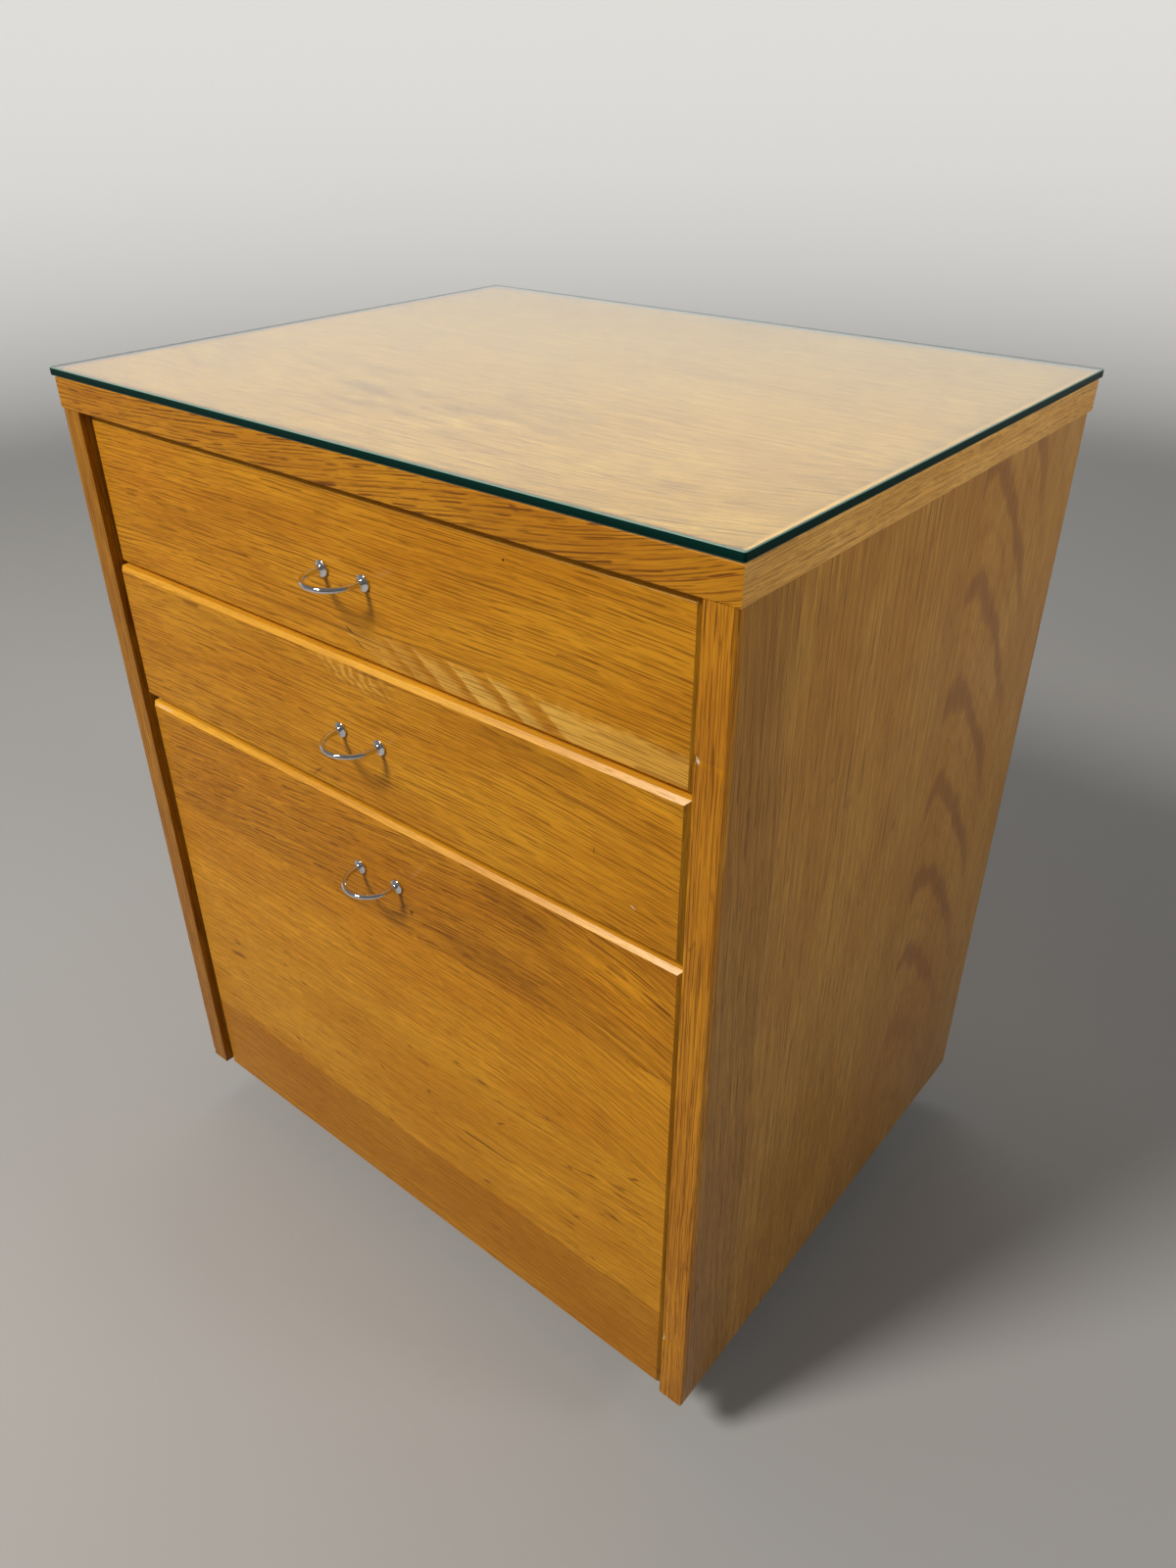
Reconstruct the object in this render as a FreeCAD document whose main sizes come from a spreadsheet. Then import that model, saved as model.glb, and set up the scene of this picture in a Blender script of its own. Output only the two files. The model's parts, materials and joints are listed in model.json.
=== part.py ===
import FreeCAD, Part
import Sketcher
import math
import os

# Filing cabinet on castors: veneered carcass with a glass sheet on top, two
# shallow drawers and one deep file drawer on roller runners, wire handles.
# Millimetres.  X to the right, Y to the back, Z up from the floor.

V = FreeCAD.Vector
doc = FreeCAD.newDocument("FilingCabinet")

# ---------------------------------------------------------------- dimensions
sheet = doc.addObject("Spreadsheet::Sheet", "Dims")
CELLS = [
    ("centre_x", 3.0, "middle plane of the carcass"),
    ("front_y", -221.5, "front plane of the side panels"),
    ("outer_width", 580.0, "over the side panels"),
    ("panel_depth", 458.0, "side panel, front to back, with its lipping"),
    ("panel_height", 644.0, "side panel"),
    ("panel_thick", 19.5, "side panel"),
    ("floor_gap", 55.0, "floor to the underside of the side panels"),
    ("edge_strip", 6.0, "solid lipping on the front edge of a side panel"),
    ("top_thick", 22.0, "top board"),
    ("top_side_over", 2.0, "top board beyond each side panel"),
    ("top_back_over", 3.0, "top board beyond the side panels at the back"),
    ("top_strip", 6.0, "solid lipping round the top board"),
    ("glass_thick", 6.0, "loose glass sheet"),
    ("glass_left_over", 6.0, "glass beyond the top board, left"),
    ("glass_right_over", 0.0, "glass beyond the top board, right"),
    ("glass_back_over", 8.0, "glass beyond the top board, back"),
    ("glass_arris", 0.7, "ground edge of the glass"),
    ("back_thick", 8.0, "back panel"),
    ("back_inset", 6.0, "back panel, in from the rear edge"),
    ("back_rebate", 9.5, "rebate for the back panel in each side"),
    ("base_thick", 18.0, "bottom board"),
    ("base_height", 62.0, "floor to the underside of the bottom board"),
    ("base_front", 25.5, "bottom board, behind the panel fronts"),
    ("rail_thick", 18.0, "top rails"),
    ("rail_wide", 60.0, "top rails"),
    ("rail_front", 27.5, "front rail, behind the panel fronts"),
    ("dowel_radius", 4.0, "carcass dowels"),
    ("dowel_in_side", 12.0, "dowel length in the side panel"),
    ("dowel_in_board", 20.0, "dowel length in the board"),
    ("front_thick", 19.5, "drawer fronts"),
    ("front_side_gap", 3.5, "drawer front to side panel"),
    ("bevel", 3.0, "bevel round a drawer front"),
    ("recess_top", 5.8, "top drawer front behind the panel fronts"),
    ("recess_middle", 2.8, "middle drawer front behind the panel fronts"),
    ("recess_file", 4.8, "file drawer front behind the panel fronts"),
    ("low_top", 530.5, "top drawer front, lower edge over the panel undersides"),
    ("high_top", 641.0, "top drawer front, upper edge"),
    ("low_middle", 417.0, "middle drawer front, lower edge"),
    ("high_middle", 528.0, "middle drawer front, upper edge"),
    ("low_file", -2.0, "file drawer front, lower edge"),
    ("high_file", 410.0, "file drawer front, upper edge"),
    ("handle_top", 586.2, "top handle over the panel undersides"),
    ("handle_middle", 472.2, "middle handle"),
    ("handle_file", 356.4, "file drawer handle"),
    ("aside_top", 0.0, "top handle to the right of the middle plane"),
    ("aside_middle", 2.2, "middle handle to the right of the middle plane"),
    ("aside_file", 1.8, "file drawer handle to the right of the middle plane"),
    ("box_top", 545.0, "underside of the top drawer's sides over the panel undersides"),
    ("box_middle", 432.0, "underside of the middle drawer's sides"),
    ("box_file", 38.0, "underside of the file drawer's sides"),
    ("side_top", 76.0, "height of the top drawer's sides"),
    ("side_middle", 80.0, "height of the middle drawer's sides"),
    ("side_file", 300.0, "height of the file drawer's sides"),
    ("runner_gap", 13.0, "drawer side to cabinet side"),
    ("side_thick", 12.0, "drawer sides and backs"),
    ("box_length", 400.0, "drawer sides"),
    ("base_ply", 6.0, "drawer bottoms"),
    ("groove", 6.0, "groove for a drawer bottom"),
    ("groove_up", 10.0, "groove over the lower edge of the sides"),
    ("pitch", 38.7, "handle foot to foot"),
    ("bar_radius", 1.9, "handle bar"),
    ("reach", 26.9, "handle bar's middle line in front of the drawer front"),
    ("foot_radius", 5.7, "handle foot at the drawer front"),
    ("foot_rim", 1.5, "straight rim of a handle foot"),
    ("foot_long", 4.6, "flared handle foot"),
    ("screw_radius", 1.95, "handle screw"),
    ("screw_hole", 2.25, "hole in the drawer front for a handle screw"),
    ("screw_head", 4.0, "handle screw head radius"),
    ("screw_bite", 3.2, "handle screw inside the foot"),
    ("sheet_steel", 1.2, "runner steel"),
    ("runner_start", 26.5, "runners, behind the panel fronts"),
    ("runner_long", 400.0, "runners"),
    ("channel_wide", 11.0, "cabinet runner"),
    ("channel_low", 10.0, "cabinet runner under the drawer side's lower edge"),
    ("channel_high", 32.0, "cabinet runner"),
    ("flange_up", 13.0, "drawer runner's flange over the side's lower edge"),
    ("flange_clear", 2.0, "drawer runner's flange to the cabinet side"),
    ("roller_radius", 9.2, "runner rollers"),
    ("roller_wide", 6.4, "runner rollers"),
    ("roller_pin", 2.5, "pin radius of a roller"),
    ("pin_play", 0.05, "radial play of a roller or a wheel on its pin"),
    ("roller_end", 12.0, "roller from the end of its runner"),
    ("wood_screw", 1.75, "wood screw shank"),
    ("wood_screw_head", 3.6, "wood screw head"),
    ("hang_thick", 3.0, "hanging rail"),
    ("hang_deep", 15.0, "hanging rail"),
    ("hang_pitch", 330.0, "hanging rails apart"),
    ("castor_side", 70.0, "castor pivot from the side panel's outer face"),
    ("castor_end", 80.0, "castor pivot from the front and back planes"),
    ("plate_side", 58.0, "castor plate"),
    ("plate_thick", 2.5, "castor plate"),
    ("plate_holes", 22.0, "plate screws from the pivot, both ways"),
    ("boss_radius", 15.0, "ball race housing under the plate"),
    ("boss_high", 3.5, "ball race housing"),
    ("king_radius", 4.0, "king pin"),
    ("crown_radius", 18.0, "fork crown"),
    ("crown_thick", 3.0, "fork crown"),
    ("crown_gap", 0.6, "race housing to fork crown"),
    ("wheel_radius", 22.0, "castor wheel"),
    ("wheel_wide", 18.0, "castor wheel"),
    ("wheel_play", 1.0, "wheel to fork leg, each side"),
    ("trail", 18.0, "axle behind the pivot"),
    ("leg_thick", 2.5, "fork legs"),
    ("axle_radius", 3.0, "castor axle"),
]
DIM = {}
for row, (alias, value, note) in enumerate(CELLS, start=1):
    sheet.set("A%d" % row, str(value))
    sheet.setAlias("A%d" % row, alias)
    sheet.set("B%d" % row, note)
    DIM[alias] = value
doc.recompute()


class Q:
    """A dimension: the expression that drives it and its present value."""

    def __init__(self, text, value):
        self.text = text
        self.value = float(value)

    @staticmethod
    def of(x):
        return x if isinstance(x, Q) else Q(repr(float(x)), x)

    def _mix(self, other, sign, value, swap=False):
        a, b = (Q.of(other), self) if swap else (self, Q.of(other))
        return Q("(%s %s %s)" % (a.text, sign, b.text), value(a.value, b.value))

    def __add__(self, o):
        return self._mix(o, "+", lambda a, b: a + b)

    def __radd__(self, o):
        return self._mix(o, "+", lambda a, b: a + b, True)

    def __sub__(self, o):
        return self._mix(o, "-", lambda a, b: a - b)

    def __rsub__(self, o):
        return self._mix(o, "-", lambda a, b: a - b, True)

    def __mul__(self, o):
        return self._mix(o, "*", lambda a, b: a * b)

    def __rmul__(self, o):
        return self._mix(o, "*", lambda a, b: a * b, True)

    def __truediv__(self, o):
        return self._mix(o, "/", lambda a, b: a / b)

    def __neg__(self):
        return Q("(-1.0 * %s)" % self.text, -self.value)


def d(alias):
    return Q("Dims." + alias, DIM[alias])


def bind(obj, prop, q):
    if isinstance(q, Q):
        obj.setExpression(prop, q.text)
    else:
        setattr(obj, prop, q) if "." not in prop else obj.setExpression(prop, repr(float(q)))


TURN = {
    "+Z": FreeCAD.Rotation(),
    "-Z": FreeCAD.Rotation(V(1, 0, 0), 180),
    "+X": FreeCAD.Rotation(V(0, 1, 0), 90),
    "-X": FreeCAD.Rotation(V(0, 1, 0), -90),
    "+Y": FreeCAD.Rotation(V(1, 0, 0), -90),
    "-Y": FreeCAD.Rotation(V(1, 0, 0), 90),
}


def place(obj, x, y, z, rot=None):
    obj.Placement = FreeCAD.Placement(
        V(Q.of(x).value, Q.of(y).value, Q.of(z).value), rot or FreeCAD.Rotation())
    bind(obj, "Placement.Base.x", Q.of(x))
    bind(obj, "Placement.Base.y", Q.of(y))
    bind(obj, "Placement.Base.z", Q.of(z))
    return obj


def box(name, x, y, z, l, w, h):
    o = doc.addObject("Part::Box", name)
    bind(o, "Length", Q.of(l))
    bind(o, "Width", Q.of(w))
    bind(o, "Height", Q.of(h))
    return place(o, x, y, z)


def rod(name, x, y, z, r, length, way):
    o = doc.addObject("Part::Cylinder", name)
    bind(o, "Radius", Q.of(r))
    bind(o, "Height", Q.of(length))
    return place(o, x, y, z, TURN[way])


def cone(name, x, y, z, r1, r2, length, way):
    o = doc.addObject("Part::Cone", name)
    bind(o, "Radius1", Q.of(r1))
    bind(o, "Radius2", Q.of(r2))
    bind(o, "Height", Q.of(length))
    return place(o, x, y, z, TURN[way])


def group(name, items):
    o = doc.addObject("Part::Compound", name)
    o.Links = items
    return o


def fuse(name, items):
    o = doc.addObject("Part::MultiFuse", name)
    o.Shapes = items
    o.Refine = True
    return o


def cut(name, base, tools):
    o = doc.addObject("Part::Cut", name)
    o.Base = base
    o.Tool = tools[0] if len(tools) == 1 else group(name + "_cutters", tools)
    return o


def mirrored(name, source):
    o = doc.addObject("Part::Mirroring", name)
    o.Source = source
    o.Normal = V(1, 0, 0)
    bind(o, "Base.x", d("centre_x"))
    return o


NODES = []


def node(label, obj):
    obj.Label = label
    NODES.append((label, obj))
    return obj


# ------------------------------------------------------- sketches and bodies
def body(name):
    return doc.addObject("PartDesign::Body", name)


def plane(b, role):
    return [f for f in b.Origin.OriginFeatures if f.Role == role][0]


def sketch(b, name, role, lift=0.0):
    sk = b.newObject("Sketcher::SketchObject", name)
    sk.AttachmentSupport = [(plane(b, role), "")]
    sk.MapMode = "FlatFace"
    if isinstance(lift, Q):
        sk.AttachmentOffset = FreeCAD.Placement(V(0, 0, lift.value), FreeCAD.Rotation())
        sk.setExpression("AttachmentOffset.Base.z", lift.text)
    return sk


def pin_point(sk, geo, pos, x, y):
    """Fix a sketch point at (x, y) from the sketch origin."""
    x, y = Q.of(x), Q.of(y)
    if abs(x.value) < 1e-9 and abs(y.value) < 1e-9:
        sk.addConstraint(Sketcher.Constraint("Coincident", geo, pos, -1, 1))
        return
    for q, kind, axis in ((x, "DistanceX", -2), (y, "DistanceY", -1)):
        if abs(q.value) < 1e-9:
            sk.addConstraint(Sketcher.Constraint("PointOnObject", geo, pos, axis))
        else:
            k = sk.addConstraint(Sketcher.Constraint(kind, -1, 1, geo, pos, q.value))
            sk.setExpression("Constraints[%d]" % k, q.text)


def outline(sk, points):
    """A closed outline of straight lines through the given points."""
    first = sk.GeometryCount
    n = len(points)
    at = [(Q.of(x), Q.of(y)) for x, y in points]
    for i in range(n):
        a, b = at[i], at[(i + 1) % n]
        sk.addGeometry(Part.LineSegment(V(a[0].value, a[1].value, 0),
                                        V(b[0].value, b[1].value, 0)), False)
    for i in range(n):
        sk.addConstraint(Sketcher.Constraint(
            "Coincident", first + i, 2, first + (i + 1) % n, 1))
    for i in range(n):
        pin_point(sk, first + i, 1, *at[i])


def ring(sk, x, y, r):
    x, y, r = Q.of(x), Q.of(y), Q.of(r)
    g = sk.addGeometry(Part.Circle(V(x.value, y.value, 0), V(0, 0, 1), r.value), False)
    pin_point(sk, g, 3, x, y)
    k = sk.addConstraint(Sketcher.Constraint("Radius", g, r.value))
    sk.setExpression("Constraints[%d]" % k, r.text)


def pad(b, name, sk, length, back=False, both=False):
    f = b.newObject("PartDesign::Pad", name)
    f.Profile = sk
    bind(f, "Length", Q.of(length))
    f.Reversed = back
    f.Midplane = both
    return f


def pocket(b, name, sk, length=None, back=False, both=False):
    f = b.newObject("PartDesign::Pocket", name)
    f.Profile = sk
    if length is None:
        f.Type = 1
    else:
        bind(f, "Length", Q.of(length))
    f.Reversed = back
    f.Midplane = both
    return f


def face_at(shape, axis, value):
    """Name of the flat face whose points all lie at the given coordinate."""
    for i, f in enumerate(shape.Faces, start=1):
        if all(abs(getattr(p.Point, axis) - value) < 1e-6 for p in f.Vertexes):
            return "Face%d" % i
    raise RuntimeError("no face at %s = %s" % (axis, value))


# ------------------------------------------------------------ reference lines
left_out = d("centre_x") - d("outer_width") / 2
right_out = d("centre_x") + d("outer_width") / 2
left_in = left_out + d("panel_thick")
right_in = right_out - d("panel_thick")
inside = d("outer_width") - 2 * d("panel_thick")
front = d("front_y")
under = d("floor_gap")
carcass_top = under + d("panel_height")
panel_back = front + d("panel_depth")
back_face = panel_back - d("back_inset") - d("back_thick")

DRAWERS = ("top", "middle", "file")


# ------------------------------------------------ fixings that need pilot holes
runner_y = front + d("runner_start")
runner_screw_y = [runner_y + 40, runner_y + 200, runner_y + 360]


def drawer_base(which):
    return under + d("box_" + which)


runner_holes = []          # (y, z) on the inner faces of the side panels
for which in DRAWERS:
    for y in runner_screw_y:
        runner_holes.append((y, drawer_base(which) + 6))

dowel_spots = []           # (y, z) of the dowels into each side panel
base_front_y = front + d("base_front")
base_mid_z = d("base_height") + d("base_thick") / 2
for k in (50, 209, 368):
    dowel_spots.append((base_front_y + k, base_mid_z))
rail_z = carcass_top - d("rail_thick")
rail_mid_z = carcass_top - d("rail_thick") / 2
front_rail_y = front + d("rail_front")
rear_rail_y = back_face - d("rail_wide")
for start in (front_rail_y, rear_rail_y):
    for k in (15, 45):
        dowel_spots.append((start + k, rail_mid_z))


# ------------------------------------------------------------------ side panels
def side_panel(name, x, inner_x, inward):
    """Board with upright grain; inward is +1 on the left panel, -1 on the right."""
    y = front + d("edge_strip")
    blank = box(name + "_board", x, y, under, d("panel_thick"),
                d("panel_depth") - d("edge_strip"), d("panel_height"))
    tools = []
    way = "-X" if inward > 0 else "+X"
    for i, (yy, zz) in enumerate(runner_holes):
        tools.append(rod("%s_pilot_%d" % (name, i), inner_x, yy, zz,
                         d("wood_screw"), 13.0, way))
    for i, (yy, zz) in enumerate(dowel_spots):
        tools.append(rod("%s_dowel_hole_%d" % (name, i), inner_x, yy, zz,
                         d("dowel_radius"), d("dowel_in_side"), way))
    rx = inner_x - d("back_rebate") if inward > 0 else inner_x
    tools.append(box(name + "_rebate", rx, back_face, under, d("back_rebate"),
                     d("back_thick") + d("back_inset") + 1, d("panel_height")))
    return cut(name, blank, tools)


node("left_side_panel", side_panel("left_side_panel", left_out, left_in, 1))
node("right_side_panel", side_panel("right_side_panel", right_in, right_in, -1))
node("left_panel_lipping", box("left_panel_lipping", left_out, front, under,
                               d("panel_thick"), d("edge_strip"), d("panel_height")))
node("right_panel_lipping", box("right_panel_lipping", right_in, front, under,
                                d("panel_thick"), d("edge_strip"), d("panel_height")))

# -------------------------------------------------------------------- top board
top_left = left_out - d("top_side_over")
top_right = right_out + d("top_side_over")
top_back = panel_back + d("top_back_over")
top_wide = d("outer_width") + 2 * d("top_side_over")
top_deep = d("panel_depth") + d("top_back_over")
strip = d("top_strip")

screw_x = [left_in + 90, d("centre_x"), right_in - 90]
top_screw_spots = []
for start in (front_rail_y, rear_rail_y):
    for x in screw_x:
        top_screw_spots.append((x, start + d("rail_wide") / 2))

top_core = box("top_board_core", top_left + strip, front + strip, carcass_top,
               top_wide - 2 * strip, top_deep - strip, d("top_thick"))
node("top_board", cut("top_board", top_core, [
    rod("top_pilot_%d" % i, x, y, carcass_top, d("wood_screw"), 12.0, "+Z")
    for i, (x, y) in enumerate(top_screw_spots)]))


def lipping(name, points, x, y):
    """Solid edge strip of the top board with its mitred outline seen from above."""
    b = body(name)
    sk = sketch(b, name + "_outline", "XY_Plane")
    outline(sk, points)
    pad(b, name + "_pad", sk, d("top_thick"))
    place(b, x, y, carcass_top)
    return b


node("top_front_lipping", lipping("top_front_lipping", [
    (0, 0), (top_wide, 0), (top_wide - strip, strip), (strip, strip)], top_left, front))
node("top_left_lipping", lipping("top_left_lipping", [
    (0, 0), (strip, strip), (strip, top_deep), (0, top_deep)], top_left, front))
node("top_right_lipping", lipping("top_right_lipping", [
    (strip, 0), (strip, top_deep), (0, top_deep), (0, strip)], top_right - strip, front))

# ------------------------------------------------------------------- glass sheet
glass = body("glass_top")
glass_wide = top_wide + d("glass_left_over") + d("glass_right_over")
glass_deep = top_deep + d("glass_back_over")
glass_sk = sketch(glass, "glass_outline", "XY_Plane")
outline(glass_sk, [(0, 0), (glass_wide, 0), (glass_wide, glass_deep), (0, glass_deep)])
glass_pad = pad(glass, "glass_pad", glass_sk, d("glass_thick"))
doc.recompute()
glass_edges = glass.newObject("PartDesign::Chamfer", "glass_arris_edges")
glass_edges.Base = (glass_pad, [face_at(glass_pad.Shape, "z", 0.0),
                                face_at(glass_pad.Shape, "z", DIM["glass_thick"])])
bind(glass_edges, "Size", d("glass_arris"))
place(glass, top_left - d("glass_left_over"), front, carcass_top + d("top_thick"))
node("glass_top", glass)

# --------------------------------------------------------- back, bottom and rails
node("back_panel", box("back_panel", left_in - d("back_rebate"), back_face, under,
                       inside + 2 * d("back_rebate"), d("back_thick"),
                       d("panel_height")))

castor_x = (left_out + d("castor_side"), right_out - d("castor_side"))
castor_y = (front + d("castor_end"), panel_back - d("castor_end"))
CORNERS = (("front_left", castor_x[0], castor_y[0], 188.0),
           ("front_right", castor_x[1], castor_y[0], 173.0),
           ("rear_left", castor_x[0], castor_y[1], 184.0),
           ("rear_right", castor_x[1], castor_y[1], 177.0))

base_blank = box("bottom_board_blank", left_in, base_front_y, d("base_height"),
                 inside, back_face - base_front_y, d("base_thick"))
base_tools = []
for i, (y, z) in enumerate(dowel_spots[:3]):
    base_tools.append(rod("base_dowel_l%d" % i, left_in, y, z, d("dowel_radius"),
                          d("dowel_in_board"), "+X"))
    base_tools.append(rod("base_dowel_r%d" % i, right_in, y, z, d("dowel_radius"),
                          d("dowel_in_board"), "-X"))
for name, x, y, turn in CORNERS:
    for k, (sx, sy) in enumerate(((-1, -1), (1, -1), (1, 1), (-1, 1))):
        base_tools.append(rod("base_pilot_%s_%d" % (name, k),
                              x + sx * d("plate_holes"), y + sy * d("plate_holes"),
                              d("base_height"), d("wood_screw"), 13.0, "+Z"))
node("bottom_board", cut("bottom_board", base_blank, base_tools))


def top_rail(name, y, spots, screws):
    blank = box(name + "_blank", left_in, y, rail_z, inside, d("rail_wide"),
                d("rail_thick"))
    tools = []
    for i, (yy, zz) in enumerate(spots):
        tools.append(rod("%s_dowel_l%d" % (name, i), left_in, yy, zz,
                         d("dowel_radius"), d("dowel_in_board"), "+X"))
        tools.append(rod("%s_dowel_r%d" % (name, i), right_in, yy, zz,
                         d("dowel_radius"), d("dowel_in_board"), "-X"))
    for i, (xx, yy) in enumerate(screws):
        tools.append(fuse("%s_screw_seat_%d" % (name, i), [
            rod("%s_screw_hole_%d" % (name, i), xx, yy, rail_z - 1,
                d("wood_screw"), d("rail_thick") + 2, "+Z"),
            cone("%s_sink_%d" % (name, i), xx, yy, rail_z, d("wood_screw_head"),
                 d("wood_screw"), 2.4, "+Z")]))
    return cut(name, blank, tools)


node("top_front_rail", top_rail("top_front_rail", front_rail_y,
                                dowel_spots[3:5], top_screw_spots[:3]))
node("top_rear_rail", top_rail("top_rear_rail", rear_rail_y,
                               dowel_spots[5:7], top_screw_spots[3:]))

dowels = []
for i, (y, z) in enumerate(dowel_spots):
    long = d("dowel_in_side") + d("dowel_in_board")
    dowels.append(rod("dowel_left_%d" % i, left_in - d("dowel_in_side"), y, z,
                      d("dowel_radius"), long, "+X"))
    dowels.append(rod("dowel_right_%d" % i, right_in - d("dowel_in_board"), y, z,
                      d("dowel_radius"), long, "+X"))
node("carcass_dowels", group("carcass_dowels", dowels))


def wood_screw(name, x, y, z, way, length):
    """Countersunk wood screw: head outer face at the given point, pointing along way."""
    return fuse(name, [
        rod(name + "_shank", x, y, z, d("wood_screw"), length, way),
        cone(name + "_head", x, y, z, d("wood_screw_head"), d("wood_screw"), 2.4, way)])


node("top_screws", group("top_screws", [
    wood_screw("top_screw_%d" % i, x, y, rail_z, "+Z", d("rail_thick") + 11.5)
    for i, (x, y) in enumerate(top_screw_spots)]))


# ----------------------------------------------------------------- fixed runners
def cabinet_runner(which):
    """Left channel with its front roller pin; the right one mirrors it."""
    z0 = drawer_base(which) - d("channel_low")
    t = d("sheet_steel")
    web = box("cab_web_" + which, left_in, runner_y, z0, t, d("runner_long"),
              d("channel_high"))
    low = box("cab_low_" + which, left_in, runner_y, z0, d("channel_wide"),
              d("runner_long"), t)
    high = box("cab_high_" + which, left_in, runner_y, z0 + d("channel_high") - t,
               d("channel_wide"), d("runner_long"), t)
    pin_y = runner_y + d("roller_end")
    pin_z = drawer_base(which) + d("flange_up") - d("roller_radius") - 0.3
    pin = rod("cab_pin_" + which, left_in + t, pin_y, pin_z, d("roller_pin"),
              d("channel_wide") - t - 0.9, "+X")
    cap = rod("cab_pin_head_" + which, left_in + d("channel_wide") - 1.7, pin_y, pin_z,
              4.2, 0.8, "+X")
    whole = fuse("cab_runner_" + which, [web, low, high, pin, cap])
    holes = [rod("cab_hole_%s_%d" % (which, i), left_in - 0.5, y,
                 drawer_base(which) + 6, d("wood_screw"), t + 1, "+X")
             for i, y in enumerate(runner_screw_y)]
    one = cut("cab_runner_left_" + which, whole, holes)
    other = mirrored("cab_runner_right_" + which, one)
    # front roller, on the pin
    x0 = left_in + t + 0.8
    r = cut("front_roller_left_" + which,
            rod("front_roller_blank_" + which, x0, pin_y, pin_z, d("roller_radius"),
                d("roller_wide"), "+X"),
            [rod("front_roller_bore_" + which, x0 - 1, pin_y, pin_z,
                 d("roller_pin") + d("pin_play"), d("roller_wide") + 2, "+X")])
    return (group("cabinet_runners_" + which, [one, other]),
            group("front_rollers_" + which, [r, mirrored("front_roller_right_" + which, r)]),
            pin_y, pin_z)


runner_parts = {}
for which in DRAWERS:
    runners, rollers, py, pz = cabinet_runner(which)
    node(which + "_cabinet_runners", runners)
    node(which + "_front_rollers", rollers)
    runner_parts[which] = (py, pz)

runner_screws = []
for i, (y, z) in enumerate(runner_holes):
    runner_screws.append(fuse("runner_screw_left_%d" % i, [
        rod("runner_shank_left_%d" % i, left_in - 12, y, z, d("wood_screw"),
            12 + d("sheet_steel"), "+X"),
        cone("runner_head_left_%d" % i, left_in + d("sheet_steel"), y, z,
             d("wood_screw_head"), 2.0, 1.6, "+X")]))
    runner_screws.append(mirrored("runner_screw_right_%d" % i, runner_screws[-1]))
node("cabinet_runner_screws", group("cabinet_runner_screws", runner_screws))

# ----------------------------------------------------------------------- drawers
box_left = left_in + d("runner_gap")
box_right = right_in - d("runner_gap")
box_wide = inside - 2 * d("runner_gap")


def drawer_front(which):
    """Veneered front with a bevel on all four edges, two screw holes and a groove."""
    b = body(which + "_drawer_front")
    wide = inside - 2 * d("front_side_gap")
    high = d("high_" + which) - d("low_" + which)
    sk = sketch(b, which + "_front_outline", "XZ_Plane")
    outline(sk, [(0, 0), (wide, 0), (wide, high), (0, high)])
    slab = pad(b, which + "_front_slab", sk, d("front_thick"), back=True)
    doc.recompute()
    ch = b.newObject("PartDesign::Chamfer", which + "_front_bevel")
    ch.Base = (slab, [face_at(slab.Shape, "y", 0.0)])
    bind(ch, "Size", d("bevel"))
    doc.recompute()
    full = ch.Shape.Volume
    hs = sketch(b, which + "_screw_holes", "XZ_Plane")
    hz = d("handle_" + which) - d("low_" + which)
    mid = wide / 2 + d("aside_" + which)
    ring(hs, mid - d("pitch") / 2, hz, d("screw_hole"))
    ring(hs, mid + d("pitch") / 2, hz, d("screw_hole"))
    pk = pocket(b, which + "_screw_pocket", hs)
    gs = sketch(b, which + "_groove_outline", "XZ_Plane", lift=-d("front_thick"))
    gz = d("box_" + which) + d("groove_up") - d("low_" + which)
    gx = box_left + d("side_thick") - d("groove") - (left_in + d("front_side_gap"))
    gw = box_wide - 2 * d("side_thick") + 2 * d("groove")
    outline(gs, [(gx, gz), (gx + gw, gz), (gx + gw, gz + d("base_ply")),
                 (gx, gz + d("base_ply"))])
    gp = pocket(b, which + "_groove", gs, d("groove"), back=True)
    b.Tip = gp
    place(b, left_in + d("front_side_gap"), front + d("recess_" + which),
          under + d("low_" + which))
    doc.recompute()
    holes = 2 * math.pi * DIM["screw_hole"] ** 2 * DIM["front_thick"]
    slot = gw.value * DIM["base_ply"] * DIM["groove"]
    gone = full - gp.Shape.Volume
    if abs(gone - holes - slot) > 2.0:
        raise RuntimeError("front of %s drawer: cut %.1f, expected %.1f"
                           % (which, gone, holes + slot))
    return b


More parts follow.
